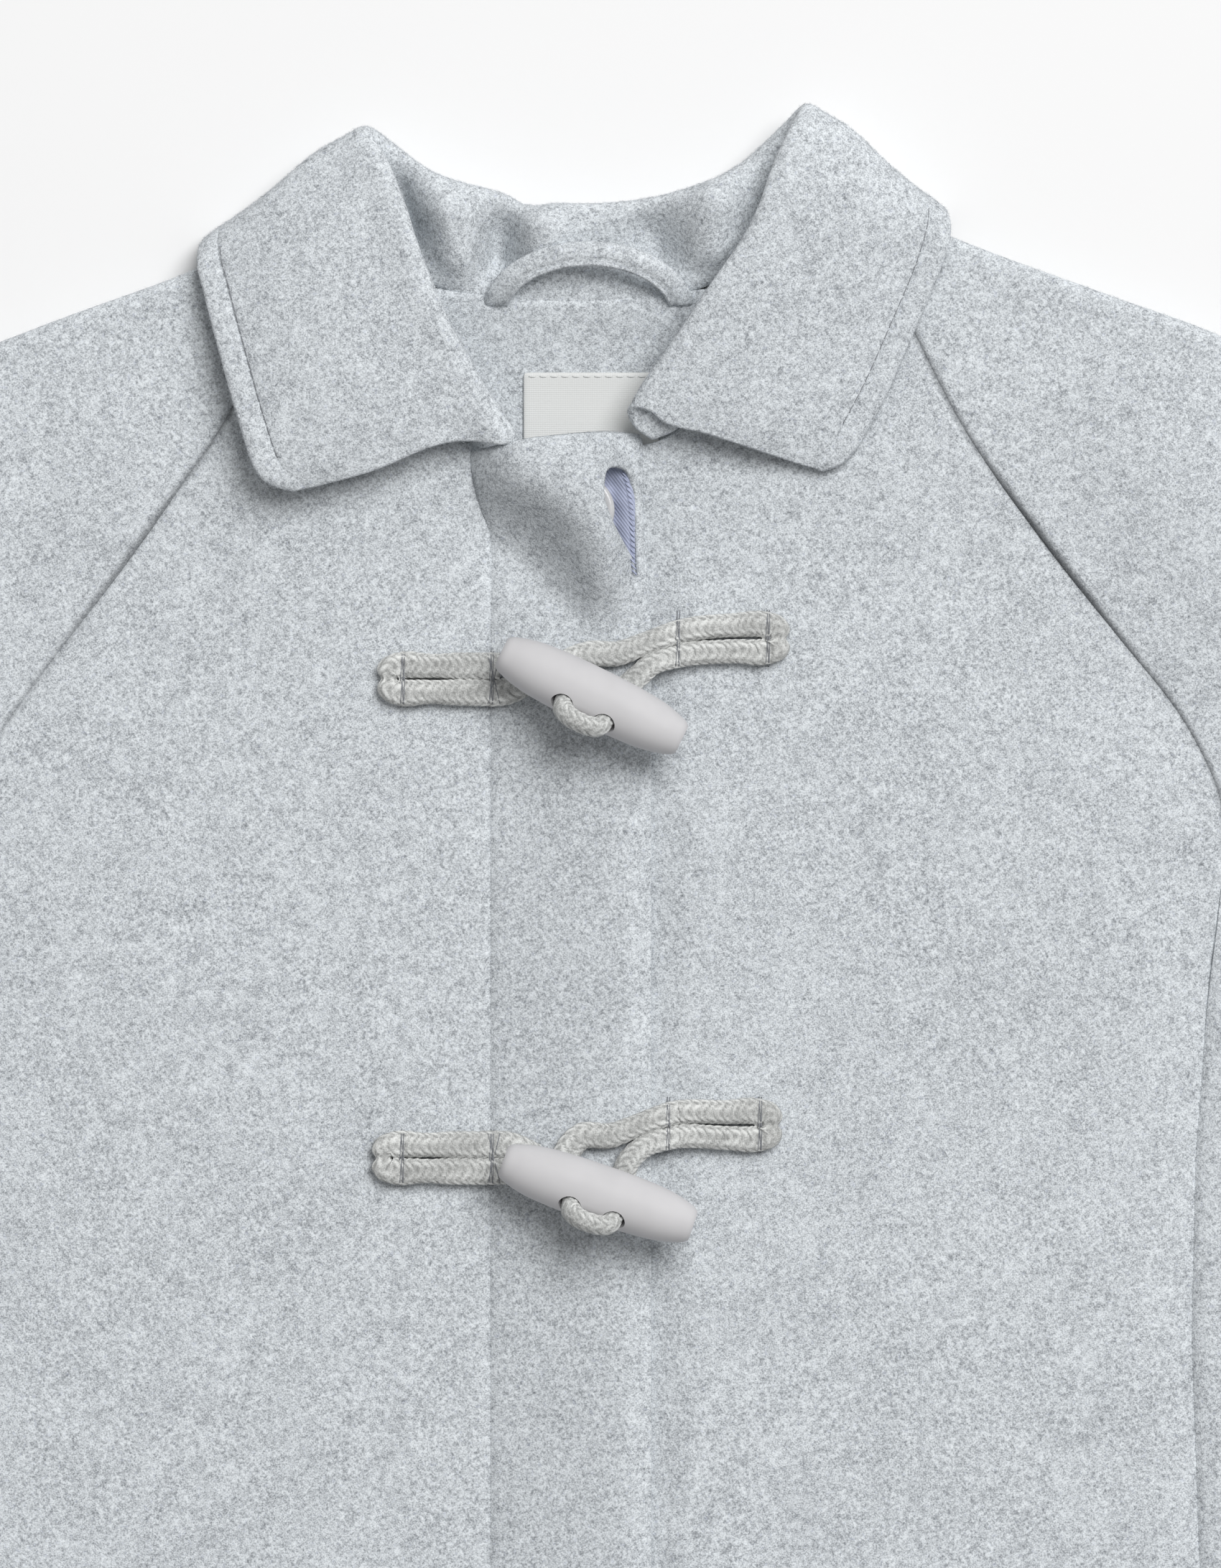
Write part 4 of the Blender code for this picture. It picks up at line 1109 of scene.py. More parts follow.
def band_grid(settings):
    """Placket band and the cells of its fly slit."""
    slit = sorted(SLIT)
    low, high = slit[0][0], slit[-1][0]
    below = np.linspace(HEM_Y, low, int((low - HEM_Y) / (settings.band_spacing / MM)))
    along = np.linspace(low, high, SLIT_ROWS)
    above = np.linspace(high, BAND_NECK[0][1], BAND_TOP_ROWS)
    lips = dense_curve(slit)
    shares = np.array(BAND_SHARES)
    rows = []
    for y in np.concatenate((below[:-1], along, above[1:])):
        left, right = band_left_edge(y), BAND_RIGHT - BAND_TOP_INSET * ramp(y, *BAND_TOP_SPAN)
        first, second = [np.interp(y, lips[:, 0], lips[:, side]) for side in (1, 2)]
        if y < low:
            fade = ramp(y, low - SLIT_FADE, low)
            first, second = [lip * fade + (1 - fade) * (right - gap)
                             for lip, gap in zip(lips[0, 1:], SLIT_FROM_RIGHT)]
        across = list(left + (first - left) * shares)
        across += [second, *(second + (right - second) * share for share in LIP_SHARES), right]
        rows.append([(x, y) for x in across])
    neck_x, neck_y = zip(*BAND_NECK)
    rows[-1] = [(x, np.interp(x, neck_x, neck_y)) for x, _ in rows[-1]]
    folds = settings.fold_strength
    grid = raised(rows, lambda x, y: overlap_height(x, y) + folds * band_folds(x, y))
    first_open = len(below) - 1
    open_cells = {(row, len(shares) - 1) for row in range(first_open, first_open + len(along) - 1)}
    upper = ramp(grid[:, -1, 1], *BAND_EDGE_SPAN)[:, None]
    depth, reach = [hem + (top - hem) * upper for hem, top in (BAND_EDGE_DEPTH, BAND_EDGE_REACH)]
    return seam_roll(grid, settings.seam_depth / MM, depth, right_reach=reach), open_cells


def sleeve_section(inner, outer, under, over, crown, curl):
    """Middle line of one sleeve section, from the back layer round the outer fold to the front layer."""
    span = np.linalg.norm(outer - inner)
    fold = (over - under) / 2.0
    end_run = fold * math.pi / 2.0
    bend = max(curl, 1e-3) * math.pi / 2.0
    reach = end_run * math.sin(bend) / bend
    rise = end_run * (1.0 - math.cos(bend)) / bend
    curled = curl > 0.01
    half_way = reach * (1.0 - math.sin(bend / 2) / math.sin(bend)) if curled else reach / 2.0
    start = [(half_way * along, under + rise * share) for along, share in SLEEVE_START]
    if not curled:
        start = [(along, under) for along, _ in start]
    profile = start + [(place, under) for place in np.linspace(reach, span - fold, SLEEVE_ACROSS)]
    for turn in np.linspace(0.0, math.pi, SLEEVE_TURN_POINTS)[1:-1]:
        profile.append((span - fold + fold * math.sin(turn), under + fold - fold * math.cos(turn)))
    for place in np.linspace(span - fold, reach, SLEEVE_ACROSS):
        share = (place - reach) / max(span - fold - reach, 1e-6)
        profile.append((place, over + crown * math.sin(math.pi * share) ** 2))
    profile += [(along, 2.0 * (under + fold) - height) for along, height in reversed(start)]
    axis = (outer - inner) / span
    return [(*(inner + axis * along), height) for along, height in profile]


def sleeve_grid(sign, raglan, shoulder, settings):
    """Raglan sleeve: a flattened tube that opens into the armhole seam above the underarm."""
    rows_raglan, rows_tube = SLEEVE_ROWS
    seam = smooth_curve(raglan[::-1], rows_raglan)
    underarm = seam[-1]
    cuff = np.array(shoulder[-1])
    tube_y = np.linspace(underarm[1], cuff[1] + CUFF_SLANT, rows_tube + 1)[1:]
    shares = (tube_y - HEM_Y) / (underarm[1] - HEM_Y)
    tube = [(sign * (side_half(share) + SLEEVE_TO_BODY + WOOL / 2), y) for share, y in zip(shares, tube_y)]
    inner = np.concatenate((seam + np.array((sign * SLEEVE_SHIFT, SLEEVE_SHIFT)), tube))
    outer = smooth_curve(shoulder, SHOULDER_POINTS)
    off_elbow = np.abs(outer[:, 1] - (underarm[1] + ELBOW_RISE))
    elbow = int(np.argmin(np.where(np.abs(outer[:, 0]) < ELBOW_BEYOND_X, np.inf, off_elbow)))
    upper = smooth_curve(outer[:elbow + 1], rows_raglan)
    lower = smooth_curve(outer[elbow:], rows_tube + 1)[1:]
    sections = []
    for index, (start, end) in enumerate(zip(inner, np.concatenate((upper, lower)))):
        lift = collar_lift((start[1] + end[1]) / 2.0)
        curl = UNDERARM_CURL * float(ramp(index - rows_raglan, *CURL_ROWS))
        crown = SLEEVE_CROWN * ramp(np.linalg.norm(end - start), *CROWN_SPAN)
        under = lift + WOOL / 2
        sections.append(sleeve_section(start, end, under, under + FRONT_HEIGHT, crown, curl))
    grid = np.array(sections)
    for row in grid:
        for point in row[SLEEVE_ACROSS + len(SLEEVE_START):]:
            point[2] += settings.fold_strength * sleeve_folds(sign, point[0], point[1])
    sink = np.where(np.arange(len(grid)) < rows_raglan, settings.raglan_depth / MM, 0.0)[:, None]
    grid = seam_roll(grid, right=sink, right_reach=RAGLAN_REACH)
    return grid[::-1] if sign < 0 else grid


def sleeve_folds(sign, x, y):
    """Soft folds of a sleeve's front layer."""
    share = 1.0 if sign > 0 else LEFT_FOLD_SHARE
    return sum(ridge(abs(x), y, *line, rise * share) for *line, rise in SLEEVE_FOLDS)


def unit(vector):
    """The vector at length 1."""
    return vector / np.linalg.norm(vector)


def unit_rows(vectors):
    """Each vector of a list at length 1."""
    return vectors / np.linalg.norm(vectors, axis=1)[:, None]


def collar_section(seam, roll, fall, fuller=1.0):
    """Middle line of one collar section: up the stand, over the roll and out along the fall."""
    under = 1.0 - ramp(fall[2], *FALL_BENEATH)
    turning = math.sin(math.pi * ramp(fall[2], *FALL_TURNING))
    drop = roll[2] - fall[2]
    outward = []
    for over_share, under_share, under_height in FALL_SECTION:
        share = over_share + (under_share - over_share) * under
        place = roll + (fall - roll) * share
        place[1] += FALL_BOW * turning * math.sin(math.pi * min(over_share / FALL_BOW_SHARE, 1.0))
        over_height = fall[2] + drop * (1.0 - over_share) + FALL_ARCH * math.sin(math.pi * over_share)
        place[2] = over_height + (fall[2] + drop * under_height - over_height) * under
        outward.append(place)
    to_seam = unit(seam - roll)
    to_fall = unit(outward[0] - roll)
    apart = unit(to_seam - to_fall) * ROLL_SPREAD * fuller
    stand_side = roll + to_seam * ROLL_RADIUS * fuller + apart
    fall_side = roll + to_fall * ROLL_RADIUS * fuller - apart
    return [seam, seam + (stand_side - seam) * 0.5, stand_side, roll, fall_side] + outward


def collar_grid(settings):
    """Turned-down collar, one folded ribbon around the neck, with its stitched and rolled edges."""
    rows = np.array(COLLAR, dtype=float)
    tangent = np.gradient(rows, axis=0)
    last = len(rows) - 1
    grid = []
    ends = np.array(END_STATIONS)
    inside = np.linspace(1.0, last - 1.0, COLLAR_STATIONS)
    for place in np.concatenate((ends, inside, last - ends[::-1])):
        first = min(int(place), last - 1)
        row = hermite(rows, tangent, first, 1.0, place - first)
        row[4] -= STAND_DENT * math.exp(-((row[3] - STAND_DENT_X) / STAND_DENT_HALF) ** 2)
        over = float(ramp(row[8], *FALL_BENEATH))
        lift_at, lift_reach, lift = FALL_LIFT
        row[8] += lift * math.exp(-((place - lift_at) / lift_reach) ** 2)
        near_end = min(place, last - place)
        fuller = 1.0 + END_ROUND * math.exp(-(near_end / END_ROUND_REACH) ** 2)
        section = dense_curve(collar_section(row[0:3], row[3:6], row[6:9], fuller))
        if place < END_WAVE_LAST:
            section[:, 1] += end_wave(section, row[3], row[6], place)
        section[:, 2] += COLLAR_FLOOR_LIFT * (1.0 - over)
        run = run_length(section)
        first, full, fading, gone = STAND_FOLD_REACH
        inside = ramp(run, first, full) * (1.0 - ramp(run, fading, gone))
        section[:, 2] -= STAND_SINK * (1.0 - over) * (1.0 - ramp(run, 0.0, STAND_SINK_REACH))
        section[:, 2] += STAND_LIFT * (1.0 - over) * (1.0 - ramp(run, 0.0, NECK_SEAM_REACH))
        folds = np.array([sum(ridge(x, y, *fold) for fold in STAND_FOLDS) for x, y, _ in section])
        section[:, 2] += settings.fold_strength * folds * inside * (1.0 - over)
        edge = 1.0 - np.array(FALL_ROWS) / run[-1]
        shares = np.concatenate((np.linspace(0.0, edge[0], COLLAR_POINTS)[:-1], edge))
        sewn = over * float(ramp(near_end, *STITCH_FADE))
        grid.append(stitched_edge(resample(section, shares), section[-1], settings, over, sewn))
    return np.array(grid)


def stitched_edge(section, tip, settings, over, sewn):
    """Press the stitch line into the fall, and roll the edge under."""
    inset = run_length(np.concatenate((section, [tip])))[-1] - run_length(section)
    line = np.exp(-((inset - COLLAR_STITCH_INSET) / STITCH_HALF) ** 2)
    proud = ramp(-inset, -COLLAR_STITCH_INSET, -EDGE_PROUD_INSET)
    section[:, 2] += sewn * (EDGE_PROUD * proud - settings.stitch_depth / MM * line)
    kept = COLLAR_CLOTH * EDGE_THIN * (1.0 + COLLAR_OFFSET) / 2.0
    section[:, 2] += over * kept * (1.0 - ramp(inset, 0.0, EDGE_THIN_REACH))
    out = unit(tip - section[-2])
    up = np.array((0.0, 0.0, 1.0))
    rolled = []
    for index, angle in enumerate(EDGE_TURNS):
        turn = math.radians(angle)
        round_edge = out * EDGE_ROLL * math.sin(turn) - up * EDGE_ROLL * (1.0 - math.cos(turn))
        rolled.append(section[-1] + over * round_edge + (1.0 - over) * out * (index + 1) * EDGE_STEP)
    return np.concatenate((section, rolled))


def edge_fullness(grid):
    """Share of the collar's thickness at each point, less towards the free edge of its fall."""
    inset = np.array([run_length(section)[-1] - run_length(section) for section in grid])
    return 1.0 - EDGE_THIN * (1.0 - ramp(inset, 0.0, EDGE_THIN_REACH))


def end_wave(section, roll_x, fall_x, place):
    """Wave in the free edge of the left fall, dying away from the collar's end."""
    share = np.clip((section[:, 0] - roll_x) / (fall_x - roll_x), 0.0, 1.0)
    wave = sum(height * np.exp(-((share - middle) / half) ** 2) for height, middle, half in END_HUMPS)
    return END_WAVE * wave * math.exp(-(place / END_WAVE_REACH) ** 2)


def facing_lift(y):
    """Rise of the facing and its label towards the neck seam."""
    return NECK_SEAM_LIFT * np.interp(y, FACING_SLOPE, (0.0, 1.0)) ** 2


def back_neck_grids():
    """Facing inside the back neck and the bare label on it."""
    columns, rows = FACING_COUNTS
    spread = np.linspace(-FACING_HALF, FACING_HALF, columns)
    top = np.array([(x, BACK_NECK_DEPTH + FACING_TUCK + FACING_TOP_CURVE * x * x) for x in spread])
    bottom = np.array([(x * FACING_TAPER, FACING_BOTTOM + FACING_BOTTOM_CURVE * x * x) for x in spread])
    plan = [bottom * (1 - v) + top * v for v in np.linspace(0.0, 1.0, rows)]
    facing = raised(plan, lambda x, y: back_height(x, y) + WOOL + SEAM_GAP + facing_lift(y))
    columns, rows = LABEL_COUNTS
    plan = [[(x, y) for x in np.linspace(LABEL_LEFT, LABEL_RIGHT, columns)]
            for y in np.linspace(LABEL_BOTTOM, LABEL_TOP, rows)]
    label = raised(plan, lambda x, y: back_height(x, y) + WOOL + FACING_CLOTH + 2 * SEAM_GAP + facing_lift(y))
    return facing, label


def across_of(path):
    """Level direction across a path at each of its points, and the direction up from it."""
    along = unit_rows(np.gradient(path, axis=0))
    side = np.stack([-along[:, 1], along[:, 0], np.zeros(len(path))], axis=1)
    length = np.linalg.norm(side, axis=1)[:, None]
    side /= np.maximum(length, 1e-6)
    return side, np.cross(along, side)


def tube_grid(path, width, thickness, sides, press=1.0, narrow=1.0, square=1.0):
    """Rings of a flat oval along a path; press and narrow are the shares of its size left at each ring."""
    path = np.asarray(path, dtype=float)
    side, up = across_of(path)
    turn = 2.0 * math.pi * np.arange(sides) / sides
    out, rise = [np.sign(wave) * np.abs(wave) ** square for wave in (np.cos(turn), np.sin(turn))]
    wide = np.outer(narrow * np.ones(len(path)), out) * width / 2
    high = np.outer(press * np.ones(len(path)), rise) * thickness / 2
    rings = path[:, None, :] + side[:, None, :] * wide[:, :, None] + up[:, None, :] * high[:, :, None]
    normal = (side[:, None, :] * (np.cos(turn) / width)[None, :, None]
              + up[:, None, :] * (np.sin(turn) / thickness)[None, :, None])
    return rings, normal / np.linalg.norm(normal, axis=2)[:, :, None]


def plait(along, around, columns):
    """Height, 0 to 1, of a plaited cord's surface: slanting strands that meet in rows of chevrons."""
    column = around * columns
    row = np.floor(column)
    place = column - row
    slant = np.where(row % 2 == 0, place, 1.0 - place)
    uneven = sum(size * np.sin(along * pace + row * shift) for size, pace, shift in STRAND_UNEVEN)
    strand = along / CORD_PITCH + slant * STRAND_SLANT + uneven
    number = np.floor(strand)
    middle, size, strand_pace, row_pace = STRAND_HEIGHTS
    lively = middle + size * np.sin(number * strand_pace + row * row_pace)
    strand_arch, column_arch = [np.clip(np.sin(np.pi * share), 0.0, 1.0)
                                for share in (strand - number, place)]
    return lively * strand_arch ** STRAND_ROUND * column_arch ** COLUMN_ROUND


def braided(name, path, width, thickness, columns, relief, closed, press=1.0, narrow=1.0, square=1.0):
    """Plaited cord along a path of close points."""
    sides = columns * COLUMN_POINTS
    rings, normal = tube_grid(path, width, thickness, sides, press, narrow, square)
    along = run_length(np.asarray(path))
    around = (np.arange(sides) + 0.5) / sides
    high = plait(along[:, None], around[None, :], columns)
    points = (rings + normal * ((high - PLAIT_MIDDLE) * relief)[:, :, None]).reshape(-1, 3)
    faces = grid_faces(len(rings), sides, around=True)
    high = high.reshape(-1)
    last = (len(rings) - 1) * sides
    if closed:
        faces += [(last + k, last + (k + 1) % sides, (k + 1) % sides, k) for k in range(sides)]
    else:
        centres = np.array([rings[0].mean(axis=0), rings[-1].mean(axis=0)])
        first, second = len(points), len(points) + 1
        points = np.concatenate((points, centres))
        high = np.concatenate((high, [PLAIT_END, PLAIT_END]))
        faces += [((k + 1) % sides, k, first) for k in range(sides)]
        faces += [(last + k, last + (k + 1) % sides, second) for k in range(sides)]
    item = make_object(name, points, faces)
    # Height of the plait, kept on the mesh for the painted shade between the strands
    store = item.data.attributes.new("relief", "FLOAT", "POINT")
    store.data.foreach_set("value", np.ascontiguousarray(high, dtype=np.float32))
    return item


def rest_height(x, y):
    """Middle of a cord that lies on the cloth, clear of any edge beside it."""
    reach = CORD_WIDTH / 2 + CORD_CLEARANCE
    return max(coat_top(x + dx, y) for dx in (-reach, 0.0, reach)) + SEAM_GAP + CORD_THICKNESS / 2


def smoothed(values, span):
    """Running mean of a list of heights, ends kept."""
    padded = np.pad(values, span, mode="edge")
    kernel = np.ones(2 * span + 1) / (2 * span + 1)
    return np.convolve(padded, kernel, mode="valid")


def laid(plan, step, closed=False):
    """Close points of a cord's path laid on the cloth."""
    points = list(plan) + ([plan[0]] if closed else [])
    dense = dense_curve(points)
    path = resample(dense, np.linspace(0.0, 1.0, int(run_length(dense)[-1] / step)))
    heights = smoothed(np.array([rest_height(x, y) for x, y in path]), CORD_SMOOTHING)
    path = np.column_stack((path, heights))
    return path[:-1] if closed else path


def cord_end(run):
    """Round the folded end of a doubled cord: distances in from it, and shares of half the strands' pitch."""
    half = [(run, 1.0), *CORD_END]
    return half + [(inset, -share) for inset, share in reversed(half[:-1])]


def tab_plan(end_x, y, longer, stop_x):
    """Doubled cord sewn to the left front, from under the toggle out to its blunt end and back."""
    near = longer * STRAND_PITCH / 2
    plan = [(stop_x - out, y + near - longer * shift) for out, shift in TAB_STARTS]
    plan.append((TAB_SEAM_X, y + near))
    plan += [(end_x + inset, y + near * share) for inset, share in cord_end(TAB_END_RUN)]
    return plan + [(TAB_SEAM_X, y - near), (stop_x - TAB_SHORTER, y - near)]


def loop_plan(end_x, y, neck, toggle):
    """Doubled cord sewn to the right front, whose loop passes round under the toggle."""
    half = STRAND_PITCH / 2
    plan = [(end_x - inset, y - half * share) for inset, share in cord_end(LOOP_END_RUN)]
    plan += [(neck[0] + dx, neck[1] + dy) for dx, dy in LOOP_UPPER]
    plan += [(toggle[0] + dx, toggle[1] + dy) for dx, dy in LOOP_UNDER_TOGGLE]
    return plan + [(neck[0] + dx, neck[1] + dy) for dx, dy in LOOP_LOWER]


def toggle_place(toggle_x, toggle_y, tilt):
    """Place of a toggle: its axis along local X, resting on the cords."""
    height = overlap_height(toggle_x, toggle_y) + WOOL + CORD_THICKNESS + 3 * SEAM_GAP + TOGGLE_RADIUS
    return (Matrix.Translation((toggle_x * MM, toggle_y * MM, height * MM))
            @ Matrix.Rotation(-math.radians(tilt), 4, "Z"))


def cleft(path, end_x, y):
    """How deep in the fold of a cord's end each point lies, 0 to 1."""
    return np.exp(-((path[:, 1] - y) / CLEFT_HALF) ** 2) * (np.abs(path[:, 0] - end_x) < CORD_WIDTH)


def pressed(path, bars, end_x, y):
    """Share of a cord's thickness left at each point: less under stitches and in the fold of its end."""
    press = np.ones(len(path))
    for bar in bars:
        press -= BAR_PRESS * np.exp(-((path[:, 0] - bar) / BAR_HALF) ** 2)
    return np.clip(press - END_CLEFT * cleft(path, end_x, y), LEAST_PRESS, 1.0)


def squeezed(path, neck_x):
    """Share of a loop's width left at each point, less where its strands meet."""
    return 1.0 - NECK_SQUEEZE * np.exp(-((path[:, 0] - neck_x) / NECK_LENGTH) ** 2)


def parted(path, middle, half):
    """Share of a doubled cord's width left at each point, less where its strands stand apart."""
    return 1.0 - STRAND_GAP * np.exp(-((path[:, 0] - middle) / half) ** 2)


def top_of(*items):
    """Height of the topmost face of some pieces at a place, in millimetres."""
    points, faces = [], []
    for item in items:
        start = len(points)
        points += [vertex.co.copy() for vertex in item.data.vertices]
        faces += [tuple(start + index for index in face.vertices) for face in item.data.polygons]
    tree = BVHTree.FromPolygons(points, faces)

    def height(x, y):
        hit = tree.ray_cast(Vector((x * MM, y * MM, 1.0)), Vector((0.0, 0.0, -1.0)))[0]
        return None if hit is None else hit.z / MM
    return height


def dashes(path, length, gap, height, sink=0.12, lift=0.14):
    """Stitches along a path: each rises from the cloth and goes back into it."""
    dense = dense_curve(path)
    total = run_length(dense)[-1]
    arch = np.sin(np.linspace(0.0, math.pi, STITCH_POINTS))
    runs = []
    for start in np.arange(gap / 2, total - length, length + gap):
        plan = resample(dense, np.linspace(start, start + length, STITCH_POINTS) / total)
        tops = [height(x, y) for x, y in plan]
        if all(top is not None for top in tops):
            runs.append([(x, y, top - sink + (lift + sink) * rise)
                         for (x, y), top, rise in zip(plan, tops, arch)])
    return runs


def over_cord(x, y, half, height, slant=0.0):
    """One thread across a cord, from the cloth over its top and down again."""
    plan = [(x + slant * share, y + half * share) for share in np.linspace(-1.0, 1.0, BAR_POINTS)]
    tops = [height(*place) for place in plan]
    return [(*place, top + THREAD_CLEARANCE) for place, top in zip(plan, tops) if top is not None]


def threads(name, runs, radius, finish, settings):
    """Stitches as one piece of small round threads."""
    points, faces = [], []
    for run in runs:
        if len(run) < 3:
            continue
        rings, _ = tube_grid(run, 2 * radius, 2 * radius, THREAD_SIDES)
        last = (len(rings) - 1) * THREAD_SIDES
        caps = [tuple(reversed(range(THREAD_SIDES))), tuple(range(last, last + THREAD_SIDES))]
        faces += [tuple(len(points) + index for index in face)
                  for face in grid_faces(len(rings), THREAD_SIDES, around=True) + caps]
        points += rings.reshape(-1, 3).tolist()
    return settle(make_object(name, points, faces), finish, (), settings)


def colour_property(name, description, default):
    """A colour that a user can change."""
    return bpy.props.FloatVectorProperty(name=name, description=description, default=default, subtype="COLOR",
                                         size=3, min=0.0, max=1.0)


def length_property(name, description, default, low, high):
    """A length in metres that a user can change."""
    return bpy.props.FloatProperty(name=name, description=description, default=default, unit="LENGTH",
                                   min=low, max=high)


class CoatSettings(bpy.types.PropertyGroup):
    """Sizes and colours of the coat."""
    wool_colour: colour_property("Wool", "Ground colour of the felted wool", (0.655, 0.688, 0.712))
    fleck_colour: colour_property("Flecks", "Dark fibres in the wool", (0.20, 0.215, 0.235))
    lining_colour: colour_property("Lining", "Twill inside the fly", (0.47, 0.51, 0.67))
    label_colour: colour_property("Label", "Bare woven label", (0.78, 0.79, 0.78))
    braid_colour: colour_property("Cord", "Plaited cord of the fastenings", (0.70, 0.71, 0.695))
    toggle_colour: colour_property("Toggles", "Lacquered toggles", (0.615, 0.607, 0.618))
    button_colour: colour_property("Button", "Button behind the fly", (0.60, 0.60, 0.61))
    thread_colour: colour_property("Thread", "Sewing thread", (0.24, 0.25, 0.27))
    floor_colour: colour_property("Floor", "Surface the coat lies on", (0.92, 0.92, 0.92))
    wool_thickness: length_property(
        "Wool thickness", "Thickness of the wool with its nap", 0.0022, 0.0015, 0.003)
    seam_depth: length_property(
        "Seam depth", "How far the cloth sinks at the band's seam", 0.0012, 0.0, 0.002)
    raglan_depth: length_property(
        "Raglan depth", "How far the cloth sinks at the raglan seams", 0.0014, 0.0, 0.003)
    stitch_depth: length_property(
        "Stitch depth", "How far the collar's stitch line sinks", 0.0007, 0.0, 0.002)
    # Strength of the painted shade in the raglan seams
    seam_shadow: bpy.props.FloatProperty(
        name="Seam shadow", description="How dark the raglan seams are", subtype="FACTOR",
        min=0.0, max=1.0, default=1.0)
    fold_strength: bpy.props.FloatProperty(
        name="Folds", description="Strength of the soft folds", subtype="FACTOR",
        min=0.0, max=2.0, default=1.4)
    cloth_spacing: length_property("Cloth grid", "Spacing of the fronts' grid", 0.005, 0.003, 0.02)
    back_spacing: length_property("Back grid", "Spacing of the back's grid", 0.009, 0.005, 0.03)
    band_spacing: length_property("Band grid", "Spacing of the band's grid", 0.004, 0.002, 0.02)
    cord_step: length_property(
        "Cord step", "Spacing of the points along a plaited cord", 0.00042, 0.0003, 0.002)
    braid_relief: length_property("Plait relief", "Height of the cord's strands", 0.0005, 0.0, 0.001)
    camera_height: length_property("Camera height", "Height of the camera over the coat", 2.6, 1.0, 5.0)
    light_strength: bpy.props.FloatProperty(
        name="Light", description="Power of the large soft light", unit="POWER",
        min=0.0, max=600.0, default=343.0)
    fill_strength: bpy.props.FloatProperty(
        name="Fill", description="Brightness of the surroundings", min=0.0, max=3.0, default=0.31)


def start_step(context):
    """Clear the selection and return the coat's settings."""
    clear_selection()
    return context.scene.coat_settings


def fly_height(x, y):
    """Underside of the fly's lining, which rises from the button to the stitched lip."""
    low = front_height(x, y) + WOOL + SEAM_GAP
    high = overlap_height(x, y) + FLY_SET
    pucker = PUCKER * sum(share * math.sin(up * y + across * x) for share, up, across in PUCKER_WAVES)
    return low + max(high - low, 0.0) * ramp(x, *LINING_RISE) + pucker * (1.0 - ramp(x, *PUCKER_FADE))


class MakeBack(bpy.types.Operator):
    """Make the back panel"""
    bl_idname = "coat.back"
    bl_label = "Back"

    def execute(self, context):
        settings = start_step(context)
        grid = back_grid(settings)
        item = cloth("back_cloth", grid, WOOL, 1.0)
        settle(item, "wool", ["back"], settings)
        declare(grid)
        return {"FINISHED"}


class MakeFronts(bpy.types.Operator):
    """Make both fronts"""
    bl_idname = "coat.fronts"
    bl_label = "Fronts"

    def execute(self, context):
        settings = start_step(context)
        thickness = settings.wool_thickness / MM
        right = front_right_grid(settings)
        # Painted shade in the right raglan seam's groove
        dark = settings.seam_shadow * painted_raglan_shade(right[:, -1], RAGLAN_RIGHT, 1)
        # Painted shadow on the right front beside the band's edge, joined to the seam's painted shade
        tone = np.maximum(seam_shadow(right, right=dark), painted_shade_fading_right(right, *UNDERLAP_PAINTED_SHADOW))
        item = cloth("front_right_cloth", right, thickness, 1.0, seams=tone)
        settle(item, "wool", ["front_right"], settings)
        declare(right)
        left = front_left_grid(settings)
        # Painted shade in the left raglan seam's groove and along the band's seam
        dark = settings.seam_shadow * painted_raglan_shade(left[:, 0], RAGLAN_LEFT, -1)
        item = cloth("front_left_cloth", left, thickness, 1.0, seams=seam_shadow(left, dark, BAND_SEAM_PAINTED_SHADE))
        settle(item, "wool", ["front_left"], settings)
        declare(left)
        return {"FINISHED"}


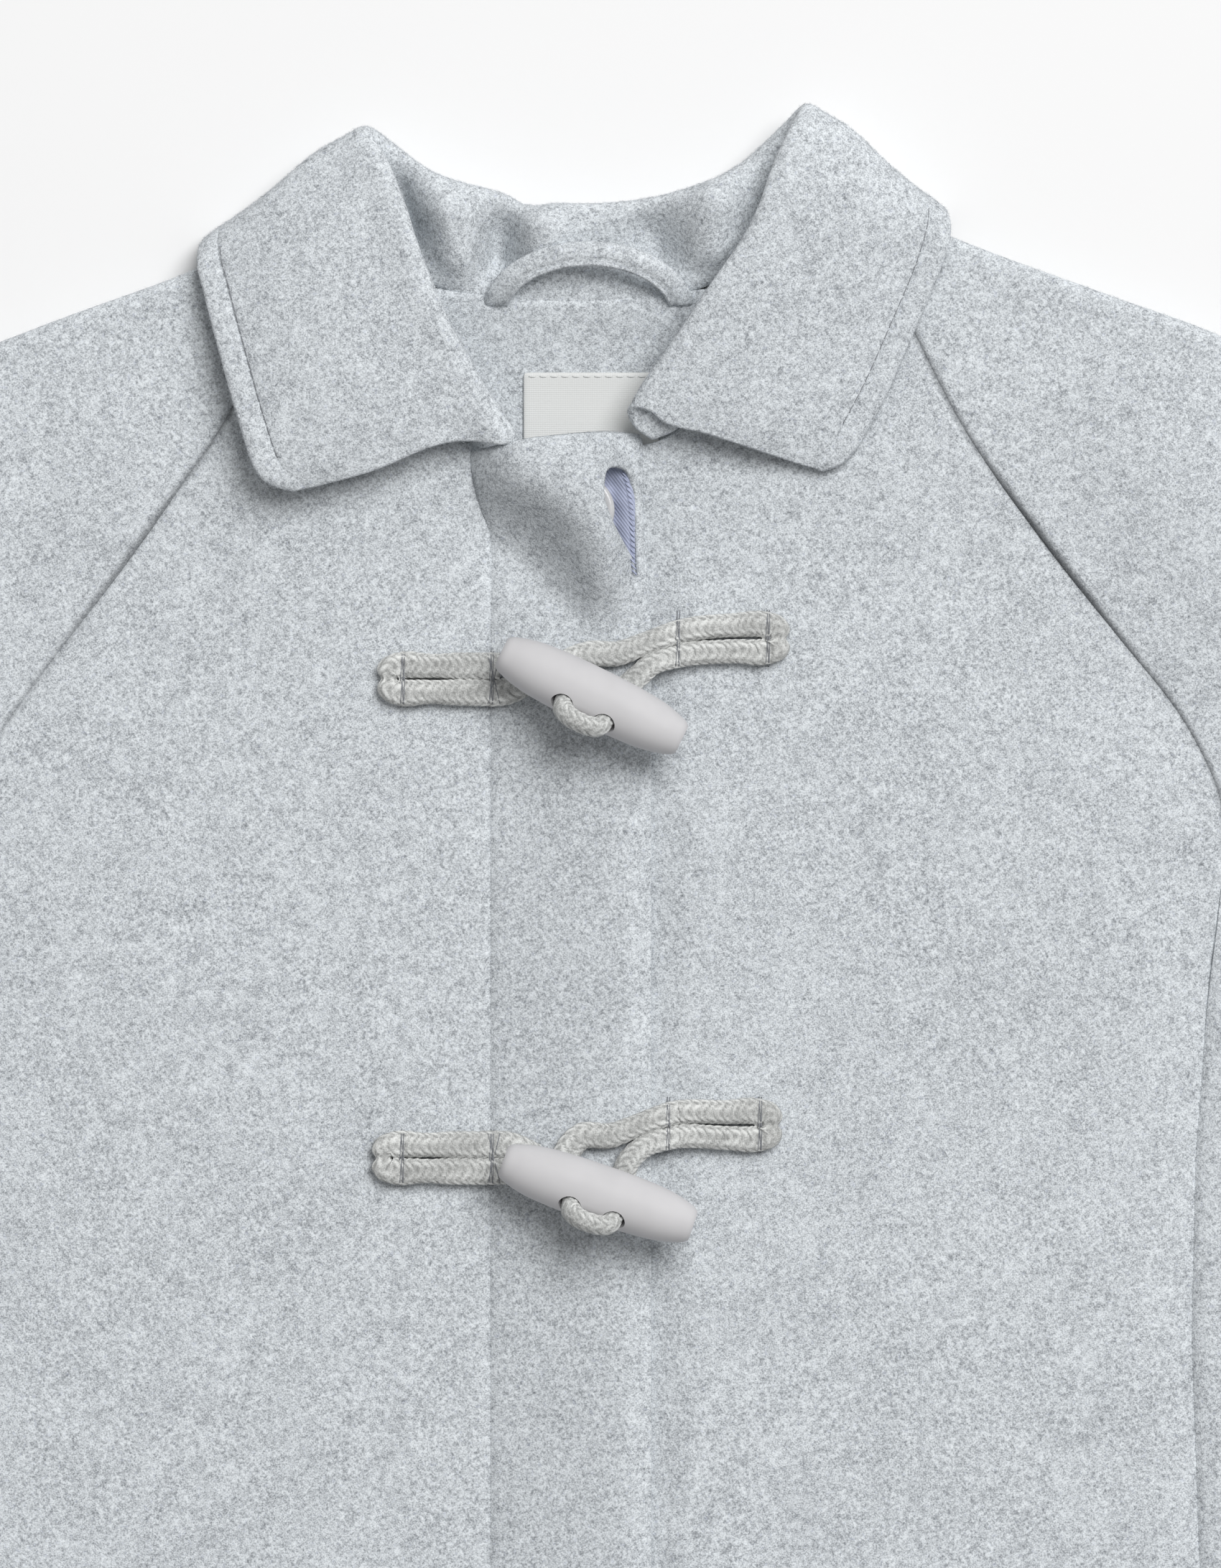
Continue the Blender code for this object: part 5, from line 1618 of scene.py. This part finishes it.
class MakeBand(bpy.types.Operator):
    """Make the placket band with the lining, button and stitching of its fly"""
    bl_idname = "coat.band"
    bl_label = "Placket band"

    def execute(self, context):
        settings = start_step(context)
        grid, slit = band_grid(settings)
        # Painted shade along the band's seam and over the band, fading towards its lit right edge
        tone = np.maximum(seam_shadow(grid, BAND_SEAM_PAINTED_SHADE), painted_shade_fading_right(grid, *BAND_PAINTED_SHADE))
        band = cloth("front_band_cloth", grid, settings.wool_thickness / MM, 1.0, slit, tone)
        settle(band, "wool", ["front_band"], settings)
        columns, rows = FLY_COUNTS
        plan = [[(x, y) for x in np.linspace(*FLY_SPAN_X, columns)] for y in np.linspace(*FLY_SPAN_Y, rows)]
        strip = raised(plan, fly_height)
        lining = cloth("fly_lining_cloth", strip, LINING_CLOTH, 1.0)
        settle(lining, "lining_twill", ["fly_lining"], settings)
        runs = self.lip_stitches(dense_curve(sorted(SLIT)), top_of(band, lining))
        sewn = threads("fly_stitches", runs, LIP_THREAD, "lining_twill", settings)
        declare(grid, slit)
        self.make_button(settings)
        return {"FINISHED"}

    def lip_stitches(self, lips, height):
        """Slanting stitches over the right lip of the fly."""
        shares = np.linspace(0.0, 1.0, STITCH_POINTS)
        shifts = np.linspace(*LIP_STITCH_SLANT, STITCH_POINTS)
        arch = LIP_STITCH_ARCH * np.sin(np.linspace(0.0, math.pi, STITCH_POINTS)) - LIP_STITCH_SINK
        runs = []
        start, end = lips[0][0] + LIP_STITCH, lips[-1][0] - LIP_STITCH / 2
        for y in np.arange(start, end, LIP_STITCH * LIP_STITCH_STEP):
            lip = np.interp(y, lips[:, 0], lips[:, 2])
            plan = [(lip + shift, y - LIP_STITCH * share) for shift, share in zip(shifts, shares)]
            top = max(top for top in (height(*place) for place in plan) if top is not None)
            runs.append([(*place, top + rise) for place, rise in zip(plan, arch)])
        return runs

    def make_button(self, settings):
        """Turn the button: a disc with a raised rim and four holes."""
        seat = front_height(*BUTTON_CENTRE) + WOOL + SEAM_GAP + BUTTON_SEAT
        bpy.ops.mesh.primitive_circle_add(vertices=BUTTON_SIDES, radius=BUTTON_RADIUS * BUTTON_FOOT * MM,
                                          fill_type="NGON")
        button = bpy.context.object
        button.name = "fly_button_turned"
        part = BUTTON_THICKNESS / sum(rise for rise, _ in BUTTON_PROFILE)
        extrude_steps([((0.0, 0.0, rise * part), (scale, scale, 1.0)) for rise, scale in BUTTON_PROFILE])
        for inset, drop in BUTTON_DISH:
            bpy.ops.mesh.inset(thickness=inset * MM, depth=drop * MM)
        bpy.ops.object.mode_set(mode="OBJECT")
        half = BUTTON_HOLE_PITCH / 2 * MM
        for x, y in ((-half, -half), (-half, half), (half, -half), (half, half)):
            drill(button, BUTTON_HOLE, BUTTON_HOLE_SIDES, Matrix.Translation((x, y, 0.0)))
        lifted = seat + BUTTON_RADIUS * math.sin(BUTTON_TILT)
        place = Matrix.Translation((BUTTON_CENTRE[0] * MM, BUTTON_CENTRE[1] * MM, lifted * MM))
        button.data.transform(place @ Matrix.Rotation(-BUTTON_TILT, 4, "Y"))
        settle(button, "button_pearl", ["fly_button"], settings)


class MakeSleeves(bpy.types.Operator):
    """Make both sleeves"""
    bl_idname = "coat.sleeves"
    bl_label = "Sleeves"

    def execute(self, context):
        settings = start_step(context)
        for name, sign, raglan, shoulder in (("sleeve_left", -1, RAGLAN_LEFT, SHOULDER_LEFT),
                                             ("sleeve_right", 1, RAGLAN_RIGHT, SHOULDER_RIGHT)):
            grid = sleeve_grid(sign, raglan, shoulder, settings)
            # Painted shade in the raglan seam's groove
            dark = settings.seam_shadow * painted_raglan_shade(grid[:, -1], raglan, sign)
            item = cloth(f"{name}_cloth", grid, WOOL, 0.0, seams=seam_shadow(grid, right=dark))
            settle(item, "wool", [name], settings)
            declare(grid)
        return {"FINISHED"}


class MakeCollar(bpy.types.Operator):
    """Make the collar with its stitched edge"""
    bl_idname = "coat.collar"
    bl_label = "Collar"

    def execute(self, context):
        settings = start_step(context)
        grid = collar_grid(settings)
        item = cloth("collar_cloth", grid, COLLAR_CLOTH, COLLAR_OFFSET, fullness=edge_fullness(grid))
        settle(item, "wool", ["collar"], settings)
        declare(grid)
        height = top_of(item)
        runs = []
        for side in (grid[COLLAR_STITCH_FROM:len(grid) // 2], grid[len(grid) // 2:-COLLAR_STITCH_FROM]):
            over = [section for section in side if section[-len(EDGE_TURNS) - 1, 2] > COLLAR_TOP]
            line = [resample(section, [1.0 - COLLAR_STITCH_RUN / run_length(section)[-1]])[0][:2]
                    for section in over]
            runs += dashes(line[::2], *COLLAR_STITCH, height, COLLAR_STITCH_RISE, COLLAR_STITCH_RISE)
        # Real topstitching; its dark, nearly unbroken thread also paints the shade of the stitch groove
        threads("collar_stitches", runs, COLLAR_THREAD, "thread", settings)
        return {"FINISHED"}


class MakeBackNeck(bpy.types.Operator):
    """Make the back neck facing, the bare label and the hanger loop"""
    bl_idname = "coat.back_neck"
    bl_label = "Back neck"

    def execute(self, context):
        settings = start_step(context)
        facing, label = back_neck_grids()
        item = cloth("back_neck_cloth", facing, FACING_CLOTH, 1.0)
        settle(item, "wool", ["back_neck_facing"], settings)
        declare(facing)
        item = cloth("label_tape", label, LABEL_CLOTH, 1.0)
        settle(item, "label_weave", ["label"], settings)
        edge = [(x, LABEL_TOP - LABEL_STITCH_INSET)
                for x in (LABEL_LEFT + LABEL_STITCH_MARGIN, LABEL_RIGHT - LABEL_STITCH_MARGIN)]
        runs = dashes(edge, *LABEL_STITCH, top_of(item))
        sewn = threads("label_stitches", runs, LABEL_THREAD, "label_weave", settings)
        declare(label)
        self.make_loop(settings)
        return {"FINISHED"}

    def make_loop(self, settings):
        """Fold the hanger loop's strip, with its turned edge inside the arch."""
        middle_x, middle_y, half_width, rise = LOOP_ARCH
        turns = np.linspace(math.pi, 0.0, LOOP_POINTS)
        low, high = LOOP_LEVELS
        path = np.column_stack((middle_x + half_width * np.cos(turns), middle_y + rise * np.sin(turns),
                                low + (high - low) * np.sin(turns) ** LOOP_ROUND))
        rings, _ = tube_grid(path, LOOP_STRIP, LOOP_THICKNESS, LOOP_SIDES)
        rings[:, LOOP_GROOVE_SIDE, 2] -= LOOP_GROOVE
        rings[:, :, 1] = np.maximum(rings[:, :, 1], LOOP_SEAM)
        faces = grid_faces(LOOP_POINTS, LOOP_SIDES, around=True)
        item = make_object("hanger_loop_strip", rings.reshape(-1, 3), faces)
        face_outwards(item)
        add_modifier(item, "SOLIDIFY", thickness=LOOP_WALL * MM, offset=-1.0)
        settle(item, "wool", ["hanger_loop"], settings)
        closed = np.concatenate((rings, rings[:, :1]), axis=1)
        declare(closed)


class MakeCords(bpy.types.Operator):
    """Make the plaited cords of the fastenings and their stitching"""
    bl_idname = "coat.cords"
    bl_label = "Cords"

    def execute(self, context):
        settings = start_step(context)
        step = settings.cord_step / MM
        relief = settings.braid_relief / MM
        for name, toggle_x, toggle_y, _, tab_x, tab_y, longer, *loop_places in FASTENINGS:
            loop_x, loop_y, neck_x, neck_y = loop_places
            tab_bars, loop_bars = STITCH_BARS[name][:2], STITCH_BARS[name][2:]
            path = laid(tab_plan(tab_x, tab_y, longer, toggle_x - TAB_STOP), step)
            narrow = parted(path, tab_x + TAB_GAP[0], TAB_GAP[1]) - END_NOTCH * cleft(path, tab_x, tab_y)
            tab = braided(f"tab_cord_{name}_plait", path, CORD_WIDTH, CORD_THICKNESS, CORD_COLUMNS, relief,
                          False, pressed(path, tab_bars, tab_x, tab_y), narrow, STRAND_SQUARE)
            settle(tab, "braid", [f"tab_cord_{name}"], settings)
            path = laid(loop_plan(loop_x, loop_y, (neck_x, neck_y), (toggle_x, toggle_y)), step, closed=True)
            narrow = (squeezed(path, neck_x) * parted(path, loop_x - LOOP_GAP[0], LOOP_GAP[1])
                      - END_NOTCH * cleft(path, loop_x, loop_y))
            loop = braided(f"loop_cord_{name}_plait", path, CORD_WIDTH, CORD_THICKNESS, CORD_COLUMNS, relief,
                           True, pressed(path, loop_bars, loop_x, loop_y), narrow, STRAND_SQUARE)
            settle(loop, "braid", [f"loop_cord_{name}"], settings)
            self.sew(name, tab, tab_y, tab_bars, loop, loop_y, loop_bars, settings)
        return {"FINISHED"}

    def sew(self, name, tab, tab_y, tab_bars, loop, loop_y, loop_bars, settings):
        """Rows of stitches that hold the cords down."""
        runs = []
        cords = top_of(tab, loop, *[bpy.data.objects[f"{front}_cloth"]
                                    for front in ("front_left", "front_band", "front_right")])
        half = CORD_WIDTH / 2 + BAR_OVERHANG
        for y, bars in ((tab_y, tab_bars), (loop_y, loop_bars)):
            for bar in bars:
                for middle in (y - STRAND_PITCH / 2, y + STRAND_PITCH / 2):
                    runs += [over_cord(bar + shift, middle, half, cords, slant)
                             for shift, slant in BAR_THREADS]
        for slant in (CROSS_SLANT, -CROSS_SLANT):
            runs.append(over_cord(tab_bars[1] + CROSS_SHIFT, tab_y, CORD_WIDTH * CROSS_HALF, cords, slant))
        threads(f"cord_stitches_{name}", runs, CORD_THREAD, "thread", settings)


class MakeToggles(bpy.types.Operator):
    """Make the toggles and the cords through them"""
    bl_idname = "coat.toggles"
    bl_label = "Toggles"

    def execute(self, context):
        settings = start_step(context)
        for name, toggle_x, toggle_y, tilt, *_ in FASTENINGS:
            place = toggle_place(toggle_x, toggle_y, tilt)
            barrel = self.turn_barrel(f"toggle_{name}_turned")
            barrel.data.transform(place)
            settle(barrel, "toggle_wood", [f"toggle_{name}"], settings)
            barrel.data.set_sharp_from_angle(angle=TOGGLE_SHARP)
            lean = place @ Matrix.Rotation(HOLE_LEAN, 4, "X")
            shares = HOLDER_ARC + [(-along, out) for along, out in reversed(HOLDER_ARC[:-1])]
            arc = dense_curve([(HOLE_HALF_PITCH * along, out) for along, out in shares])
            steps = int(run_length(arc)[-1] / (settings.cord_step / MM))
            arc = resample(arc, np.linspace(0.0, 1.0, steps))
            path = np.array([tuple((lean @ Vector((along * MM, 0.0, out * MM))) / MM) for along, out in arc])
            holder = braided(f"toggle_cord_{name}_plait", path, 2 * HOLDER_RADIUS, 2 * HOLDER_RADIUS,
                             HOLDER_COLUMNS, settings.braid_relief / MM * HOLDER_RELIEF, False)
            settle(holder, "braid", [f"toggle_cord_{name}"], settings)
        return {"FINISHED"}

    def turn_barrel(self, name):
        """Turn one barrel from end to end and drill its two holes."""
        ends = [(TOGGLE_HALF * along, TOGGLE_RADIUS * across) for along, across in TOGGLE_PROFILE]
        half = dense_curve(ends, TOGGLE_STEPS)
        profile = np.concatenate((half, half[::-1] * (-1.0, 1.0)))
        clear_selection()
        bpy.ops.mesh.primitive_circle_add(vertices=TOGGLE_SIDES, radius=profile[0, 1] * MM, fill_type="NGON",
                                          location=(profile[0, 0] * MM, 0.0, 0.0),
                                          rotation=(0.0, math.pi / 2, 0.0))
        barrel = bpy.context.object
        barrel.name = name
        bpy.ops.object.transform_apply(location=True, rotation=True, scale=True)
        extrude_steps([((after - before, 0.0, 0.0), (1.0, new / old, new / old))
                       for (before, old), (after, new) in zip(profile[:-1], profile[1:])])
        bpy.ops.object.mode_set(mode="OBJECT")
        self.unroll(barrel)
        for side in (-1, 1):
            place = Matrix.Translation((side * HOLE_HALF_PITCH * MM, 0.0, 0.0))
            drill(barrel, HOLE_RADIUS, HOLE_SIDES, place @ Matrix.Rotation(HOLE_LEAN, 4, "X"))
        return barrel

    def unroll(self, barrel):
        """Lay the barrel's UV map out along and around its axis, in metres."""
        layers = barrel.data.uv_layers
        layer = layers[0] if layers else layers.new(name="along")
        for loop in barrel.data.loops:
            x, y, z = barrel.data.vertices[loop.vertex_index].co
            layer.data[loop.index].uv = (x, math.atan2(y, z) * TOGGLE_RADIUS * MM)


def roots(items, count, chance):
    """Points on the upper faces of some pieces with their directions, closer together on rounded edges."""
    corners = []
    for item in items:
        item.data.calc_loop_triangles()
        points = np.array([vertex.co for vertex in item.data.vertices])
        corners.append(points[[triangle.vertices[:] for triangle in item.data.loop_triangles]])
    corners = np.concatenate(corners)
    normal = np.cross(corners[:, 1] - corners[:, 0], corners[:, 2] - corners[:, 0])
    area = np.maximum(np.linalg.norm(normal, axis=1), 1e-15)
    normal /= area[:, None]
    tilt = normal[:, 2]
    weight = area * (1.0 + NAP_EDGE * (tilt < NAP_EDGE_TILT)) * (tilt > NAP_LEAST_TILT)
    chosen = chance.choice(len(area), count, p=weight / weight.sum())
    share = chance.dirichlet((1.0, 1.0, 1.0), count)
    return (corners[chosen] * share[:, :, None]).sum(axis=1) / MM, normal[chosen]


class MakeNap(bpy.types.Operator):
    """Raise the nap: short loose fibres on the wool"""
    bl_idname = "coat.nap"
    bl_label = "Nap"

    def execute(self, context):
        settings = start_step(context)
        chance = np.random.default_rng(NAP_SEED)
        for name, (pieces, count) in NAP.items():
            root, normal = roots([bpy.data.objects[piece] for piece in pieces], count, chance)
            loose = chance.normal(size=(count, 3))
            level = loose - normal * (loose * normal).sum(axis=1)[:, None]
            along = unit_rows(unit_rows(level) + NAP_RISE * normal)
            side = unit_rows(np.cross(along, normal + NAP_TWIST * loose))
            up = np.cross(along, side)
            ring = [root + NAP_RADIUS * (math.cos(turn) * side + math.sin(turn) * up)
                    for turn in (0.0, math.tau / 3, 2 * math.tau / 3)]
            tip = root + along * chance.uniform(*NAP_LENGTH, (count, 1))
            points = np.stack((*ring, tip), axis=1).reshape(-1, 3)
            faces = [(start + a, start + b, start + c) for start in range(0, 4 * count, 4)
                     for a, b, c in ((0, 1, 3), (1, 2, 3), (2, 0, 3), (0, 2, 1))]
            settle(make_object(name, points, faces), "wool", (), settings)
        return {"FINISHED"}


class MakeStage(bpy.types.Operator):
    """Make the floor, light and camera"""
    bl_idname = "coat.stage"
    bl_label = "Stage"

    def execute(self, context):
        settings = start_step(context)
        scene = context.scene
        bpy.ops.mesh.primitive_plane_add(size=FLOOR_SIZE, location=(0.0, 0.0, 0.0))
        floor = bpy.context.object
        floor.name = "floor"
        floor.data.transform(Matrix.Translation((0.0, 0.0, -FLOOR_GAP)))
        floor.data.materials.append(floor_material(settings))
        bpy.ops.object.light_add(type="AREA", location=LIGHT_PLACE)
        light = bpy.context.object
        light.name = "soft_light"
        light.data.shape = "DISK"
        light.data.size = LIGHT_SIZE
        light.data.energy = settings.light_strength
        light.rotation_euler = (-Vector(LIGHT_PLACE)).to_track_quat("-Z", "Y").to_euler()
        world = scene.world or bpy.data.worlds.new("surroundings")
        scene.world = world
        world.use_nodes = True
        sky = world.node_tree.nodes["Background"]
        sky.inputs["Color"].default_value = (1.0, 1.0, 1.0, 1.0)
        sky.inputs["Strength"].default_value = settings.fill_strength
        bpy.ops.object.camera_add(location=(*CAMERA_OVER, settings.camera_height + CAMERA_LEVEL),
                                  rotation=(0.0, 0.0, 0.0))
        camera = bpy.context.object
        camera.name = "camera_above"
        camera.data.sensor_fit = "VERTICAL"
        camera.data.sensor_height = SENSOR_HEIGHT
        camera.data.lens = SENSOR_HEIGHT * settings.camera_height / VIEW_HEIGHT
        camera.data.clip_end = CAMERA_REACH
        scene.camera = camera
        scene.view_settings.view_transform = "Standard"
        return {"FINISHED"}


STEPS = (MakeBack, MakeFronts, MakeBand, MakeSleeves, MakeCollar, MakeBackNeck, MakeCords, MakeToggles,
         MakeNap, MakeStage)


class CoatPanel(bpy.types.Panel):
    """Lists the coat's steps and settings"""
    bl_idname = "VIEW3D_PT_coat"
    bl_label = "Short coat"
    bl_space_type = "VIEW_3D"
    bl_region_type = "UI"
    bl_category = "Coat"

    def draw(self, context):
        settings = context.scene.coat_settings
        for name in CoatSettings.__annotations__:
            self.layout.prop(settings, name)
        for step in STEPS:
            self.layout.operator(step.bl_idname)


def register():
    """Add the settings, operators and panel."""
    for item in (CoatSettings, *STEPS, CoatPanel):
        bpy.utils.register_class(item)
    bpy.types.Scene.coat_settings = bpy.props.PointerProperty(type=CoatSettings)


def unregister():
    """Remove the settings, operators and panel."""
    del bpy.types.Scene.coat_settings
    for item in (CoatPanel, *reversed(STEPS), CoatSettings):
        bpy.utils.unregister_class(item)


def main():
    """Make the whole coat on the frame."""
    register()
    bpy.ops.coat.back()
    bpy.ops.coat.fronts()
    bpy.ops.coat.band()
    bpy.ops.coat.sleeves()
    bpy.ops.coat.collar()
    bpy.ops.coat.back_neck()
    bpy.ops.coat.cords()
    bpy.ops.coat.toggles()
    bpy.ops.coat.nap()
    bpy.ops.coat.stage()


if __name__ == "__main__":
    main()
